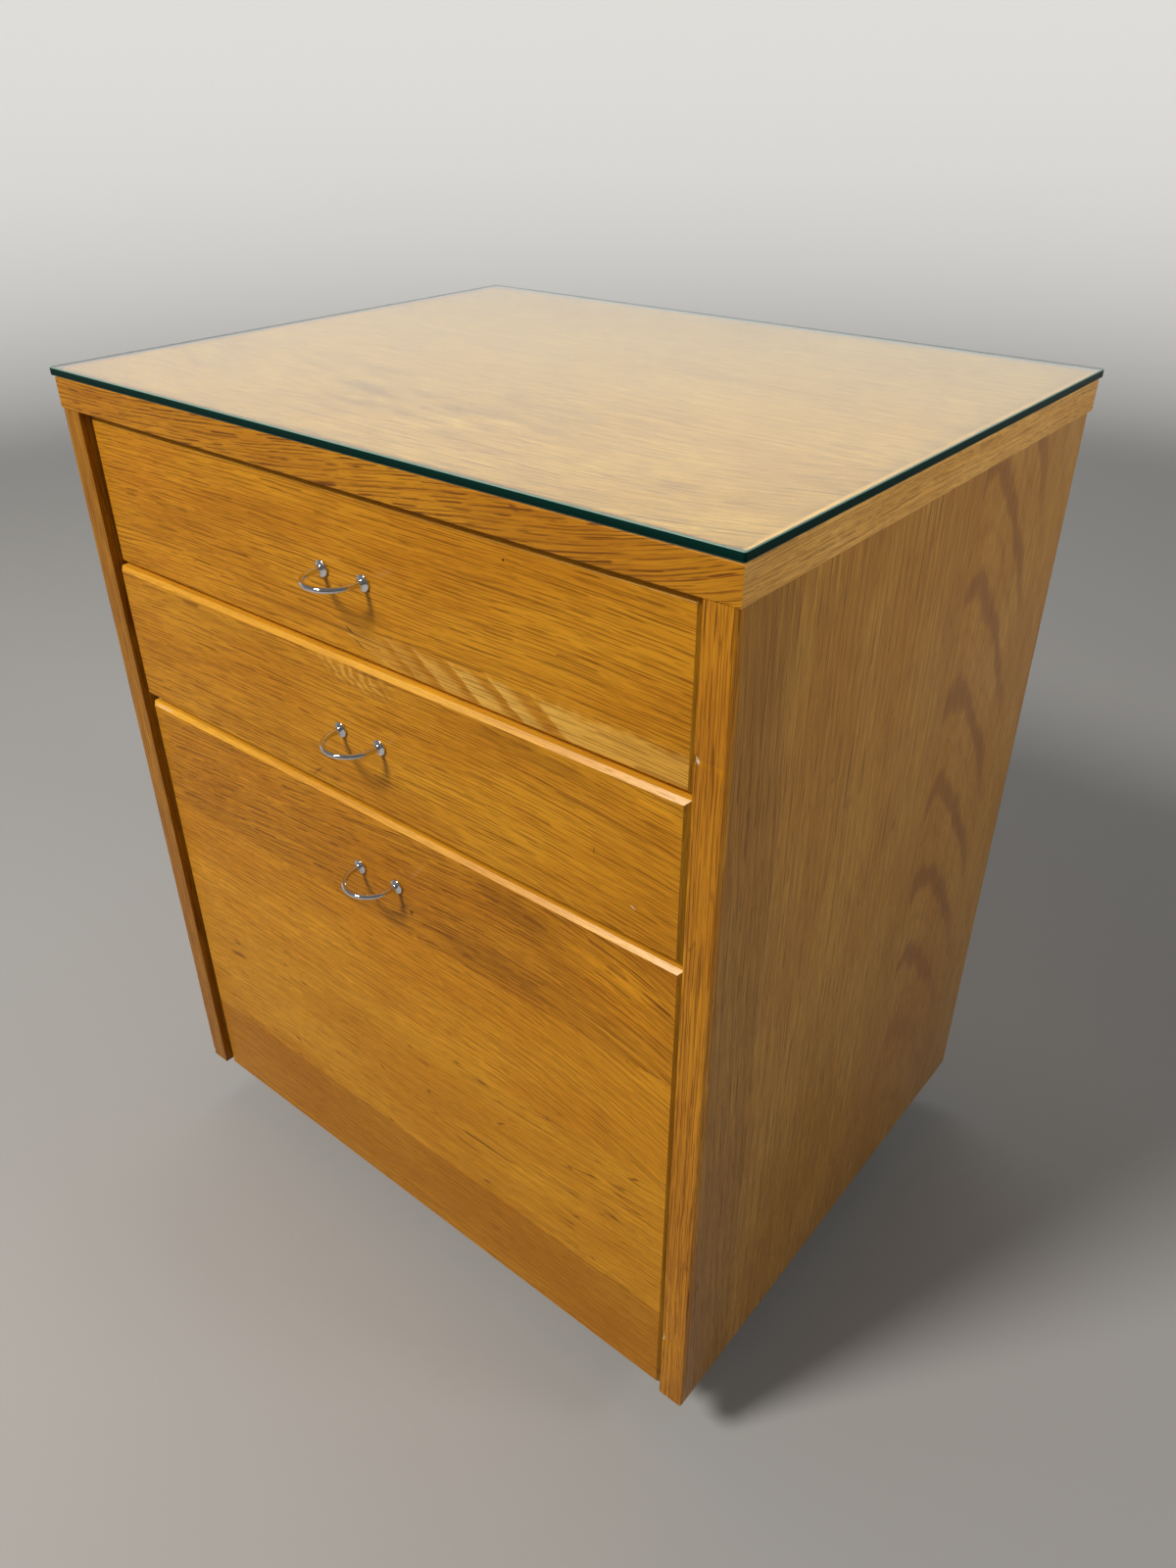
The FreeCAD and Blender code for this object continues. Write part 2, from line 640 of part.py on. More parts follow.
def wire_handle(which):
    """Rounded-U wire pull: two flared feet and a round bar bent to a half circle."""
    b = body(which + "_handle")
    half = d("pitch") / 2
    leg = d("reach") - half
    path = sketch(b, which + "_handle_path", "XY_Plane")
    h, l = half.value, leg.value
    s = 0.5
    path.addGeometry(Part.LineSegment(V(-h, -s, 0), V(-h, -l, 0)), False)
    path.addGeometry(Part.ArcOfCircle(Part.Circle(V(0, -l, 0), V(0, 0, 1), h),
                                      math.pi, 2 * math.pi), False)
    path.addGeometry(Part.LineSegment(V(h, -l, 0), V(h, -s, 0)), False)
    path.addConstraint(Sketcher.Constraint("Coincident", 0, 2, 1, 1))
    path.addConstraint(Sketcher.Constraint("Coincident", 1, 2, 2, 1))
    pin_point(path, 0, 1, -half, Q.of(-s))
    pin_point(path, 0, 2, -half, -leg)
    pin_point(path, 2, 1, half, -leg)
    pin_point(path, 2, 2, half, Q.of(-s))
    k = path.addConstraint(Sketcher.Constraint("DistanceY", -1, 1, 1, 3, -l))
    path.setExpression("Constraints[%d]" % k, (-leg).text)
    prof = sketch(b, which + "_handle_section", "XZ_Plane", lift=Q.of(s))
    ring(prof, -half, 0, d("bar_radius"))
    bar = b.newObject("PartDesign::AdditivePipe", which + "_handle_bar")
    bar.Profile = prof
    bar.Spine = path
    doc.recompute()
    # a foot, as a profile turned about the leg's own line
    for side, sign in (("left", -1), ("right", 1)):
        fs = b.newObject("Sketcher::SketchObject", "%s_foot_%s" % (which, side))
        fs.AttachmentSupport = [(plane(b, "XY_Plane"), "")]
        fs.MapMode = "FlatFace"
        fs.AttachmentOffset = FreeCAD.Placement(V(sign * h, 0, 0), FreeCAD.Rotation())
        fs.setExpression("AttachmentOffset.Base.x", (half * sign).text)
        R, rim, L = d("foot_radius"), d("foot_rim"), d("foot_long")
        bore, bite = d("screw_radius") + 0.05, d("screw_bite") + 0.3
        outline(fs, [(bore, 0), (R, 0), (R, -rim), (R * 0.86, -rim - 0.5),
                     (R * 0.62, -rim - 0.95), (R * 0.46, -rim - 1.6),
                     (R * 0.37, -L), (0, -L), (0, -bite), (bore, -bite)])
        rv = b.newObject("PartDesign::Revolution", "%s_foot_turn_%s" % (which, side))
        rv.Profile = fs
        rv.ReferenceAxis = (fs, ["V_Axis"])
        rv.Angle = 360
        doc.recompute()
    # the blind screw holes go through whatever of the bar fills them
    for side, sign in (("left", -1), ("right", 1)):
        hs = sketch(b, "%s_bore_%s" % (which, side), "XZ_Plane")
        ring(hs, half * sign, 0, d("screw_radius") + 0.05)
        hp = pocket(b, "%s_bore_cut_%s" % (which, side), hs, d("screw_bite") + 0.3,
                    back=True)
        doc.recompute()
    b.Tip = hp
    place(b, d("centre_x") + d("aside_" + which), front + d("recess_" + which),
          under + d("handle_" + which))
    return b


for which in DRAWERS:
    y_back = front + d("recess_" + which) + d("front_thick")
    z0 = drawer_base(which)
    high = d("side_" + which)
    gz = z0 + d("groove_up")
    rear = y_back + d("box_length")

    node(which + "_drawer_front", drawer_front(which))

    def drawer_side(side):
        x = box_left if side == "left" else box_right - d("side_thick")
        gx = box_left + d("side_thick") - d("groove") if side == "left" \
            else box_right - d("side_thick")
        name = "%s_drawer_%s_side" % (which, side)
        blank = box(name + "_blank", x, y_back, z0, d("side_thick"),
                    d("box_length"), high)
        tools = [box(name + "_groove", gx, y_back, gz, d("groove"),
                     d("box_length"), d("base_ply"))]
        if which == "file":
            for k in (0, 1):
                tools.append(box(
                    "%s_slot_%d" % (name, k), x - 1,
                    y_back + 20 + d("hang_pitch") * k - d("hang_thick") / 2,
                    z0 + high - d("hang_deep"), d("side_thick") + 2,
                    d("hang_thick"), d("hang_deep") + 1))
        return cut(name, blank, tools)

    node(which + "_drawer_left_side", drawer_side("left"))
    node(which + "_drawer_right_side", drawer_side("right"))
    node(which + "_drawer_back", box(
        which + "_drawer_back", box_left + d("side_thick"), rear - d("side_thick"),
        gz + d("base_ply"), box_wide - 2 * d("side_thick"), d("side_thick"),
        high - d("groove_up") - d("base_ply")))
    node(which + "_drawer_bottom", box(
        which + "_drawer_bottom", box_left + d("side_thick") - d("groove"),
        y_back - d("groove"), gz, box_wide - 2 * d("side_thick") + 2 * d("groove"),
        d("box_length") + d("groove"), d("base_ply")))

    node(which + "_handle", wire_handle(which))

    hz = under + d("handle_" + which)
    fy = front + d("recess_" + which)
    screws = []
    for side, sign in (("left", -1), ("right", 1)):
        x = d("centre_x") + d("aside_" + which) + d("pitch") / 2 * sign
        screws.append(fuse("%s_handle_screw_%s" % (which, side), [
            rod("%s_handle_shank_%s" % (which, side), x, y_back, hz,
                d("screw_radius"), d("front_thick") + d("screw_bite"), "-Y"),
            rod("%s_handle_head_%s" % (which, side), x, y_back, hz,
                d("screw_head"), 2.2, "+Y")]))
    node(which + "_handle_screws", group(which + "_handle_screws", screws))

    # drawer runner: shelf under the side, web beside it, flange over the roller
    t = d("sheet_steel")
    web_x = box_left - t - 0.0
    shelf = box("shelf_" + which, web_x, runner_y, z0 - t, t + d("side_thick"),
                d("runner_long"), t)
    web = box("web_" + which, web_x, runner_y, z0 - t, t, d("runner_long"),
              t + d("flange_up") + t)
    lip = box("flange_" + which, left_in + d("flange_clear"), runner_y,
              z0 + d("flange_up"), web_x + t - left_in - d("flange_clear"),
              d("runner_long"), t)
    rear_y = runner_y + d("runner_long") - d("roller_end")
    rear_z = z0 - d("channel_low") + t + d("roller_radius") + 0.3
    pin_long = d("runner_gap") - t - d("flange_clear") - 0.8
    pin = rod("drawer_pin_" + which, web_x, rear_y, rear_z, d("roller_pin"),
              pin_long, "-X")
    cap = rod("drawer_pin_head_" + which, web_x - pin_long + 0.8, rear_y, rear_z,
              4.2, 0.8, "-X")
    left_rail = fuse("drawer_runner_left_" + which, [shelf, web, lip, pin, cap])
    node(which + "_drawer_runners", group(which + "_drawer_runners", [
        left_rail, mirrored("drawer_runner_right_" + which, left_rail)]))
    x0 = web_x - 0.7 - d("roller_wide")
    rr = cut("rear_roller_left_" + which,
             rod("rear_roller_blank_" + which, x0, rear_y, rear_z, d("roller_radius"),
                 d("roller_wide"), "+X"),
             [rod("rear_roller_bore_" + which, x0 - 1, rear_y, rear_z,
                  d("roller_pin") + d("pin_play"), d("roller_wide") + 2, "+X")])
    node(which + "_rear_rollers", group(which + "_rear_rollers", [
        rr, mirrored("rear_roller_right_" + which, rr)]))

    if which == "file":
        hang = []
        for k in (0, 1):
            hang.append(box("hanging_rail_%d" % k, box_left,
                            y_back + 20 + d("hang_pitch") * k - d("hang_thick") / 2,
                            z0 + high - d("hang_deep"), box_wide, d("hang_thick"),
                            d("hang_deep")))
        node("hanging_file_rails", group("hanging_file_rails", hang))

# ----------------------------------------------------------------------- castors
plates = []
plate_screws = []
plate_low = d("base_height") - d("plate_thick")
boss_low = plate_low - d("boss_high")
crown_high = boss_low - d("crown_gap")
crown_low = crown_high - d("crown_thick")
for name, x, y, turn in CORNERS:
    seats = []
    for k, (sx, sy) in enumerate(((-1, -1), (1, -1), (1, 1), (-1, 1))):
        px, py = x + sx * d("plate_holes"), y + sy * d("plate_holes")
        seats.append(rod("plate_hole_%s_%d" % (name, k), px, py, plate_low - 1,
                         d("wood_screw"), d("plate_thick") + 2, "+Z"))
        plate_screws.append(fuse("plate_screw_%s_%d" % (name, k), [
            rod("plate_shank_%s_%d" % (name, k), px, py, plate_low, d("wood_screw"),
                d("plate_thick") + 12.5, "+Z"),
            cone("plate_head_%s_%d" % (name, k), px, py, plate_low,
                 d("wood_screw_head"), 2.2, 1.9, "-Z")]))
    half = d("plate_side") / 2
    plate = cut("plate_flat_" + name, box("plate_blank_" + name, x - half, y - half,
                                          plate_low, d("plate_side"), d("plate_side"),
                                          d("plate_thick")), seats)
    boss = cone("plate_boss_" + name, x, y, plate_low, d("boss_radius") + 3,
                d("boss_radius"), d("boss_high"), "-Z")
    pin = rod("king_pin_" + name, x, y, crown_low - 2.4, d("king_radius"),
              d("base_height") - crown_low + 2.4 - 0.5, "+Z")
    head = rod("king_head_" + name, x, y, crown_low - 2.4, 6.5, 2.0, "+Z")
    plates.append(fuse("castor_plate_" + name, [plate, boss, pin, head]))
node("castor_plates", group("castor_plates", plates))
node("castor_plate_screws", group("castor_plate_screws", plate_screws))


def castor_fork(name, x, y, turn):
    """Pressed fork: round crown over the king pin, two legs down to the axle."""
    b = body("castor_fork_" + name + "_body")
    sk = sketch(b, "crown_" + name, "XY_Plane", lift=crown_low)
    ring(sk, 0, 0, d("crown_radius"))
    pad(b, "crown_pad_" + name, sk, d("crown_thick"))
    doc.recompute()
    legs = sketch(b, "legs_" + name, "YZ_Plane")
    axle_z = d("wheel_radius")
    tr = d("trail")
    outline(legs, [(-12.0, crown_low + 0.5), (-11.0, crown_low - 5), (tr - 7, axle_z - 4),
                   (tr - 4.5, axle_z - 6.6), (tr, axle_z - 7.6), (tr + 4.5, axle_z - 6.6),
                   (tr + 7, axle_z - 3), (tr + 7.2, axle_z + 4),
                   (13.5, crown_low - 5), (13.0, crown_low + 0.5)])
    gap = d("wheel_wide") + 2 * d("wheel_play")
    pad(b, "legs_pad_" + name, legs, gap + 2 * d("leg_thick"), both=True)
    doc.recompute()
    space = sketch(b, "wheel_space_" + name, "XZ_Plane")
    hw = gap / 2
    outline(space, [(-hw, 0), (hw, 0), (hw, crown_low), (-hw, crown_low)])
    pocket(b, "wheel_space_cut_" + name, space, 120.0, both=True)
    doc.recompute()
    hole = sketch(b, "king_hole_" + name, "XY_Plane", lift=crown_high + 2)
    ring(hole, 0, 0, d("king_radius") + d("pin_play"))
    pocket(b, "king_hole_cut_" + name, hole, 12.0)
    doc.recompute()
    ax = sketch(b, "axle_hole_" + name, "YZ_Plane")
    ring(ax, tr, axle_z, d("axle_radius"))
    b.Tip = pocket(b, "axle_hole_cut_" + name, ax, 60.0, both=True)
    rot = FreeCAD.Rotation(V(0, 0, 1), turn)
    place(b, x, y, 0.0, rot)
    a = body("castor_axle_" + name)
    width = gap + 2 * d("leg_thick")
    s1 = sketch(a, "axle_round_" + name, "YZ_Plane")
    ring(s1, tr, axle_z, d("axle_radius"))
    pad(a, "axle_pad_" + name, s1, width, both=True)
    s2 = sketch(a, "axle_head_a_" + name, "YZ_Plane", lift=width / 2)
    ring(s2, tr, axle_z, d("axle_radius") + 2)
    pad(a, "axle_head_pad_a_" + name, s2, 1.8)
    s3 = sketch(a, "axle_head_b_" + name, "YZ_Plane", lift=-width / 2)
    ring(s3, tr, axle_z, d("axle_radius") + 2)
    a.Tip = pad(a, "axle_head_pad_b_" + name, s3, 1.8, back=True)
    place(a, x, y, 0.0, rot)
    return group("castor_fork_" + name, [b, a])


def castor_wheel(name, x, y, turn):
    """Wheel turned about its axle line, with a crowned tread and dished sides."""
    b = body("castor_wheel_" + name + "_body")
    w = d("wheel_wide")
    R = d("wheel_radius")
    bore = d("axle_radius") + d("pin_play")
    sk = sketch(b, "wheel_half_" + name, "XY_Plane")
    outline(sk, [(0.0, bore), (w, bore), (w, 6.5), (w - 2.5, 7.5), (w - 2.5, R - 5.5),
                 (w - 0.6, R - 4.5), (w - 0.6, R - 2.6), (w - 2.2, R - 0.7), (w - 4.5, R),
                 (4.5, R), (2.2, R - 0.7), (0.6, R - 2.6), (0.6, R - 4.5), (2.5, R - 5.5),
                 (2.5, 7.5), (0.0, 6.5)])
    rv = b.newObject("PartDesign::Revolution", "wheel_turn_" + name)
    rv.Profile = sk
    rv.ReferenceAxis = (sk, ["H_Axis"])
    rv.Angle = 360
    # the wheel's own origin is at the left end of its hub, on the axle line
    rot = FreeCAD.Rotation(V(0, 0, 1), turn)
    c, s = math.cos(math.radians(turn)), math.sin(math.radians(turn))
    place(b, x - c * (w / 2) - s * d("trail"), y - s * (w / 2) + c * d("trail"),
          R, rot)
    return b


for name, x, y, turn in CORNERS:
    node("castor_fork_" + name, castor_fork(name, x, y, turn))
    node("castor_wheel_" + name, castor_wheel(name, x, y, turn))

# ------------------------------------------------------------- check and write
doc.recompute()
bad = []
for o in doc.Objects:
    if any(s in ("Invalid", "Error") for s in o.State):
        bad.append("%s %s" % (o.Name, o.State))
for label, o in NODES:
    if o.Shape.isNull() or not o.Shape.isValid() or len(o.Shape.Solids) < 1:
        bad.append("%s has no valid shape" % label)
if bad:
    raise RuntimeError("; ".join(bad))
if len({label for label, o in NODES}) != len(NODES) or len(NODES) > 60:
    raise RuntimeError("node names: %d" % len(NODES))

os.makedirs("parts", exist_ok=True)
lo, hi = [1e9] * 3, [-1e9] * 3
for label, o in NODES:
    o.Shape.exportStep(os.path.join("parts", label + ".step"))
    bb = o.Shape.BoundBox
    lo = [min(lo[0], bb.XMin), min(lo[1], bb.YMin), min(lo[2], bb.ZMin)]
    hi = [max(hi[0], bb.XMax), max(hi[1], bb.YMax), max(hi[2], bb.ZMax)]
    print("%-34s solids %2d  volume %12.1f" % (label, len(o.Shape.Solids), o.Shape.Volume))
print("nodes", len(NODES))
print("box", [round(v, 2) for v in lo], [round(v, 2) for v in hi])
for which in DRAWERS:
    print(which, "front roller at", [round(q.value, 3) for q in runner_parts[which]])
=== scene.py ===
import json
import math
import random

import bmesh
import bpy
from mathutils import Matrix, Vector

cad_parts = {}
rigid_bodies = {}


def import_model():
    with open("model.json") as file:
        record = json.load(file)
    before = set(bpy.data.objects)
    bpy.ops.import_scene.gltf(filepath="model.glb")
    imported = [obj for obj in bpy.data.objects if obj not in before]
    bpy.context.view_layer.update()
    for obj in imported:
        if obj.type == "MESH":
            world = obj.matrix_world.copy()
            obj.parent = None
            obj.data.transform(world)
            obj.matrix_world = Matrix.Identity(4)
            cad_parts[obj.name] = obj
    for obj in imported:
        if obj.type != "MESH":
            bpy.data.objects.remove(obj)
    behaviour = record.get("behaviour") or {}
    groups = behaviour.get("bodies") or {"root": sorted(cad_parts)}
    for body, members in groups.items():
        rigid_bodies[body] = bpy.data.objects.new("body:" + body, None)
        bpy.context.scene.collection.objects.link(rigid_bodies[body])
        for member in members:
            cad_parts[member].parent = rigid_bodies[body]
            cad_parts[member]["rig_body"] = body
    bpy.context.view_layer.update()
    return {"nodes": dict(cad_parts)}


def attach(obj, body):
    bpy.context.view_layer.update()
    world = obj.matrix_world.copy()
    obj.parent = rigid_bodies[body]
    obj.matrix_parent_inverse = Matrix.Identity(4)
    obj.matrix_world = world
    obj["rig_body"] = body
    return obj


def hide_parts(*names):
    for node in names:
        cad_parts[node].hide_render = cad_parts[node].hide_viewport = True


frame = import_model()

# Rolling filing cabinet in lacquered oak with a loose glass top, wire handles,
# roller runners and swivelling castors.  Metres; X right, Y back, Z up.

MM = 0.001
nodes = frame["nodes"]
scene = bpy.context.scene

CX = 3.0                                  # middle plane of the carcass, mm
DRAWERS = {
    "top":    dict(face=-215.7, low=585.5, high=696.0, pull=(3.0, 641.2), base=600.0, side=76.0),
    "middle": dict(face=-218.7, low=472.0, high=583.0, pull=(5.2, 527.2), base=487.0, side=80.0),
    "file":   dict(face=-216.7, low=53.0, high=465.0, pull=(4.8, 411.4), base=93.0, side=300.0),
}
CORNERS = {"front_left": (-217.0, -141.5, 188.0), "front_right": (223.0, -141.5, 173.0),
           "rear_left": (-217.0, 156.5, 184.0), "rear_right": (223.0, 156.5, 177.0)}


# =====================================================================
# material networks
# =====================================================================
def rgba(c):
    return (c[0], c[1], c[2], 1.0)


class Net:
    """A material and short names for the nodes that build it."""

    def __init__(self, name):
        self.m = bpy.data.materials.new(name)
        self.m.use_nodes = True
        self.t = self.m.node_tree
        self.t.nodes.clear()
        self.out = self.n("ShaderNodeOutputMaterial")
        self.b = self.n("ShaderNodeBsdfPrincipled")
        self.t.links.new(self.b.outputs[0], self.out.inputs[0])

    def n(self, kind, **props):
        node = self.t.nodes.new(kind)
        for k, v in props.items():
            setattr(node, k, v)
        return node

    def put(self, socket, v):
        if isinstance(v, bpy.types.NodeSocket):
            self.t.links.new(v, socket)
        elif isinstance(v, (tuple, list)) and socket.type == "RGBA":
            socket.default_value = rgba(v)
        else:
            socket.default_value = v

    def math(self, op, a, b=0.0, c=None, clamp=False):
        node = self.n("ShaderNodeMath", operation=op, use_clamp=clamp)
        self.put(node.inputs[0], a)
        self.put(node.inputs[1], b)
        if c is not None:
            self.put(node.inputs[2], c)
        return node.outputs[0]

    def add(self, a, b):
        return self.math("ADD", a, b)

    def sub(self, a, b):
        return self.math("SUBTRACT", a, b)

    def mul(self, a, b):
        return self.math("MULTIPLY", a, b)

    def mad(self, a, b, c):
        return self.math("MULTIPLY_ADD", a, b, c)

    def vec(self, x, y, z):
        node = self.n("ShaderNodeCombineXYZ")
        for s, v in zip(node.inputs, (x, y, z)):
            self.put(s, v)
        return node.outputs[0]

    def coords(self):
        """Object coordinates in millimetres, as three sockets."""
        tc = self.n("ShaderNodeTexCoord")
        sc = self.n("ShaderNodeVectorMath", operation="SCALE")
        self.t.links.new(tc.outputs["Object"], sc.inputs[0])
        sc.inputs["Scale"].default_value = 1000.0
        sp = self.n("ShaderNodeSeparateXYZ")
        self.t.links.new(sc.outputs[0], sp.inputs[0])
        return sp.outputs[0], sp.outputs[1], sp.outputs[2]

    def noise(self, x, y, z, detail=2.0, rough=0.5, distortion=0.0):
        node = self.n("ShaderNodeTexNoise")
        self.put(node.inputs["Vector"], self.vec(x, y, z))
        node.inputs["Scale"].default_value = 1.0
        node.inputs["Detail"].default_value = detail
        node.inputs["Roughness"].default_value = rough
        node.inputs["Distortion"].default_value = distortion
        return node.outputs[0]

    def step(self, v, a, b, lo=0.0, hi=1.0):
        """Smooth step from lo at a to hi at b; a may be above b."""
        node = self.n("ShaderNodeMapRange", interpolation_type="SMOOTHSTEP")
        self.put(node.inputs[0], v)
        if a <= b:
            node.inputs[1].default_value, node.inputs[2].default_value = a, b
            node.inputs[3].default_value, node.inputs[4].default_value = lo, hi
        else:
            node.inputs[1].default_value, node.inputs[2].default_value = b, a
            node.inputs[3].default_value, node.inputs[4].default_value = hi, lo
        return node.outputs[0]

    def mix(self, fac, a, b, mode="MIX"):
        node = self.n("ShaderNodeMix", data_type="RGBA", blend_type=mode)
        self.put(node.inputs[0], fac)
        self.put(node.inputs[6], a)
        self.put(node.inputs[7], b)
        return node.outputs[2]

    def ramp(self, v, stops):
        node = self.n("ShaderNodeValToRGB")
        r = node.color_ramp
        while len(r.elements) > 1:
            r.elements.remove(r.elements[-1])
        for i, (p, c) in enumerate(stops):
            e = r.elements[0] if i == 0 else r.elements.new(p)
            e.position = p
            e.color = rgba(c) if isinstance(c, (tuple, list)) else (c, c, c, 1)
        self.put(node.inputs[0], v)
        return node.outputs[0]

    def bump(self, height, strength, distance):
        node = self.n("ShaderNodeBump")
        node.inputs["Strength"].default_value = strength
        node.inputs["Distance"].default_value = distance
        self.put(node.inputs["Height"], height)
        self.t.links.new(node.outputs[0], self.b.inputs["Normal"])

    def set(self, **values):
        for k, v in values.items():
            self.put(self.b.inputs[k.replace("_", " ")], v)
        return self


def spot(net, p, q, centre, size, turn=0.0, edge=0.35, hard=0.6):
    """Mask of an uneven ellipse on a surface with coordinates p, q (mm)."""
    a = math.radians(turn)
    dp, dq = net.sub(p, centre[0]), net.sub(q, centre[1])
    du = net.mul(net.mad(dp, math.cos(a), net.mul(dq, math.sin(a))), 1.0 / size[0])
    dv = net.mul(net.mad(dq, math.cos(a), net.mul(dp, -math.sin(a))), 1.0 / size[1])
    r = net.math("SQRT", net.mad(du, du, net.mul(dv, dv)))
    if edge:
        wob = net.noise(net.mul(dp, 2.0 / size[0]), net.mul(dq, 2.0 / size[1]), 3.7, 2.0)
        r = net.mad(net.sub(wob, 0.5), 2.0 * edge, r)
    return net.step(r, 1.0, hard)


HONEY = dict(light=(0.690, 0.308, 0.014), mid=(0.590, 0.238, 0.008), dark=(0.365, 0.122, 0.004),
             streak=(0.185, 0.054, 0.0010), pore=(0.100, 0.028, 0.001))


def dashed(net, u, t, pitch, length, seed, lo=0.47, hi=0.56, width=0.2):
    """Thin parallel lines across t, each fading in and out along u."""
    s = net.mul(t, 1.0 / pitch)
    off = net.math("ABSOLUTE", net.sub(net.math("FRACT", s), 0.5))
    own = net.noise(net.mad(u, 1.0 / length, seed), net.mul(net.math("FLOOR", s), 7.31), seed, 1.0,
                    0.5)
    return net.mul(net.step(off, width, width * 0.25), net.step(own, lo, hi))


def tint(tone, gain=1.0, r=1.0, g=1.0, b=1.0):
    return {k: (c[0] * gain * r, c[1] * gain * g, c[2] * gain * b) for k, c in tone.items()}


def oak(name, axes, tone=HONEY, pith=(-160.0, 40.0), taper=0.0, ring=4.6, seed=0.0, wave=2.0,
        band=0.25, broad=0.0, arch=None, dash=(30.0, 1.25), dashes=0.75, pores=0.35, lines=0.0, mottle=0.5,
        gloss=0.38, level=0.22, coat=0.0, leaves=None, patches=(), bump=0.35, cloudy=1.0,
        turned=0.0, restless=1.3):
    """Sliced oak: yearly rings, dark pore dashes, thin long lines, cloudy fibre.

    axes names the object axes along, across and into the board.  pith is where the middle
    of the trunk lies across the board and under its face.  leaves are strips of veneer laid
    side by side across the board, from low to high: each has a start and its own tint,
    slope and amounts.  turned lets the lines go on round the arris of a strip, and restless
    is how much they waver.  bends is a list of (start, sign, strength): past start the
    grain turns aside by strength times the distance squared."""
    net = Net(name)
    xyz = dict(zip("XYZ", net.coords()))
    u, v, w = (xyz[a] for a in axes)
    flat = v
    if turned:
        v = net.mad(w, turned, v)
    leaves = leaves or [dict()]
    marks = []
    for leaf in leaves[1:]:
        edge = net.mad(u, leaf.get("tilt", 0.0), v) if leaf.get("tilt") else v
        if leaf.get("wander"):
            wob = net.noise(net.mul(u, 1 / leaf.get("pace", 70.0)), seed + 40.0, 0.0, 2.0)
            edge = net.mad(net.sub(wob, 0.5), leaf["wander"], edge)
        soft = leaf.get("soft", 0.35)
        marks.append(net.step(edge, leaf["start"] - soft, leaf["start"] + soft))

    def pick(key, default):
        """The leaf's own value of something, as a socket, or a number if all are the same."""
        values = [leaf.get(key, default) for leaf in leaves]
        if len(set(values)) == 1:
            return values[0]
        if isinstance(default, tuple):
            out = values[0]
            for m, value in zip(marks, values[1:]):
                out = net.mix(m, out, value)
            return out
        out = values[0]
        for m, a, b in zip(marks, values[:-1], values[1:]):
            out = net.mad(m, b - a, out) if a != b else out
        return out

    # the grain's own coordinate across the board
    slow = net.noise(net.mad(u, 1 / 170.0, seed), net.mul(v, 1 / 55.0), net.mul(w, 1 / 55.0), 2.0)
    quick = net.noise(net.mad(u, 1 / 30.0, seed + 3.1), net.mul(v, 1 / 10.0), net.mul(w, 1 / 10.0), 2.0)
    vv = net.mad(u, pick("slope", 0.0), v)
    vv = net.mad(net.sub(slow, 0.5), net.mul(pick("wave", wave), 3.0)
                 if isinstance(pick("wave", wave), bpy.types.NodeSocket)
                 else 3.0 * pick("wave", wave), vv)
    vv = net.mad(net.sub(quick, 0.5), restless, vv)
    for i, leaf in enumerate(leaves):
        for start, sign, strength in leaf.get("bends", ()):
            d = net.math("MAXIMUM", net.mul(net.sub(u, start), sign), 0.0)
            d = net.mul(net.mul(d, d), strength)
            if i > 0:
                d = net.mul(d, marks[i - 1])
            if i < len(marks):
                d = net.mul(d, net.sub(1.0, marks[i]))
            vv = net.add(vv, d)
    shift = pick("shift", 0.0)
    far = net.add(vv, shift) if isinstance(shift, bpy.types.NodeSocket) or shift else vv
    vc = net.sub(far, pith[0])
    wc = net.mad(u, taper, net.add(w, pith[1]))
    R = net.math("SQRT", net.mad(vc, vc, net.mul(wc, wc)))
    vary = net.noise(net.mul(R, 1 / (ring * 3.1)), seed + 9.0, 0.5, 1.0)
    phase = net.math("FRACT", net.mad(R, 1.0 / ring, net.mul(vary, 1.8)))
    early = net.ramp(phase, [(0.0, 0.45), (0.10, 1.0), (0.26, 0.85), (0.46, 0.25), (0.70, 0.0),
                             (0.92, 0.05), (1.0, 0.45)])

    # dark dashes where the vessels are cut open
    crowd = net.noise(net.mad(u, 1 / 160.0, seed + 5.0), net.mul(vv, 1 / 6.5), seed, 1.0)
    tt = net.mad(net.sub(crowd, 0.5), 6.0, vv)
    mark = dashed(net, u, tt, dash[1] * 2.05, dash[0] * 1.3, seed, 0.40, 0.54, 0.24)
    second = dashed(net, u, net.add(tt, 0.7), dash[1] * 3.3, dash[0] * 1.1, seed + 11.0, 0.48, 0.58,
                    0.17)
    mark = net.math("MAXIMUM", net.mul(mark, 0.72), net.mul(second, 0.95))
    pore = dashed(net, u, tt, dash[1] * 0.95, dash[0] * 0.5, seed + 5.0, 0.48, 0.62, 0.32)
    # soft fibre and clouds
    fibre = net.noise(net.mad(u, 1 / 100.0, seed + 7.0), net.mul(vv, 1 / 3.6), net.mul(w, 1 / 3.6),
                      3.0, 0.6)
    hair = net.noise(net.mad(u, 1 / 55.0, seed + 8.0), net.mul(vv, 1 / 0.9), net.mul(w, 1 / 0.9),
                     2.0, 0.6)
    cloud = net.noise(net.mad(u, 1 / 150.0, seed + 1.0), net.mul(v, 1 / 46.0),
                      net.mad(w, 1 / 46.0, seed), 3.0, 0.55)
    col = net.mix(net.mul(net.step(cloud, 0.34, 0.66), cloudy), tone["light"], tone["mid"])
    col = net.mix(net.mul(net.step(fibre, 0.40, 0.66), mottle), col,
                  tuple((a + b) / 2 for a, b in zip(tone["mid"], tone["dark"])))
    col = net.mix(net.mul(early, pick("band", band)), col, tone["dark"])
    if broad:
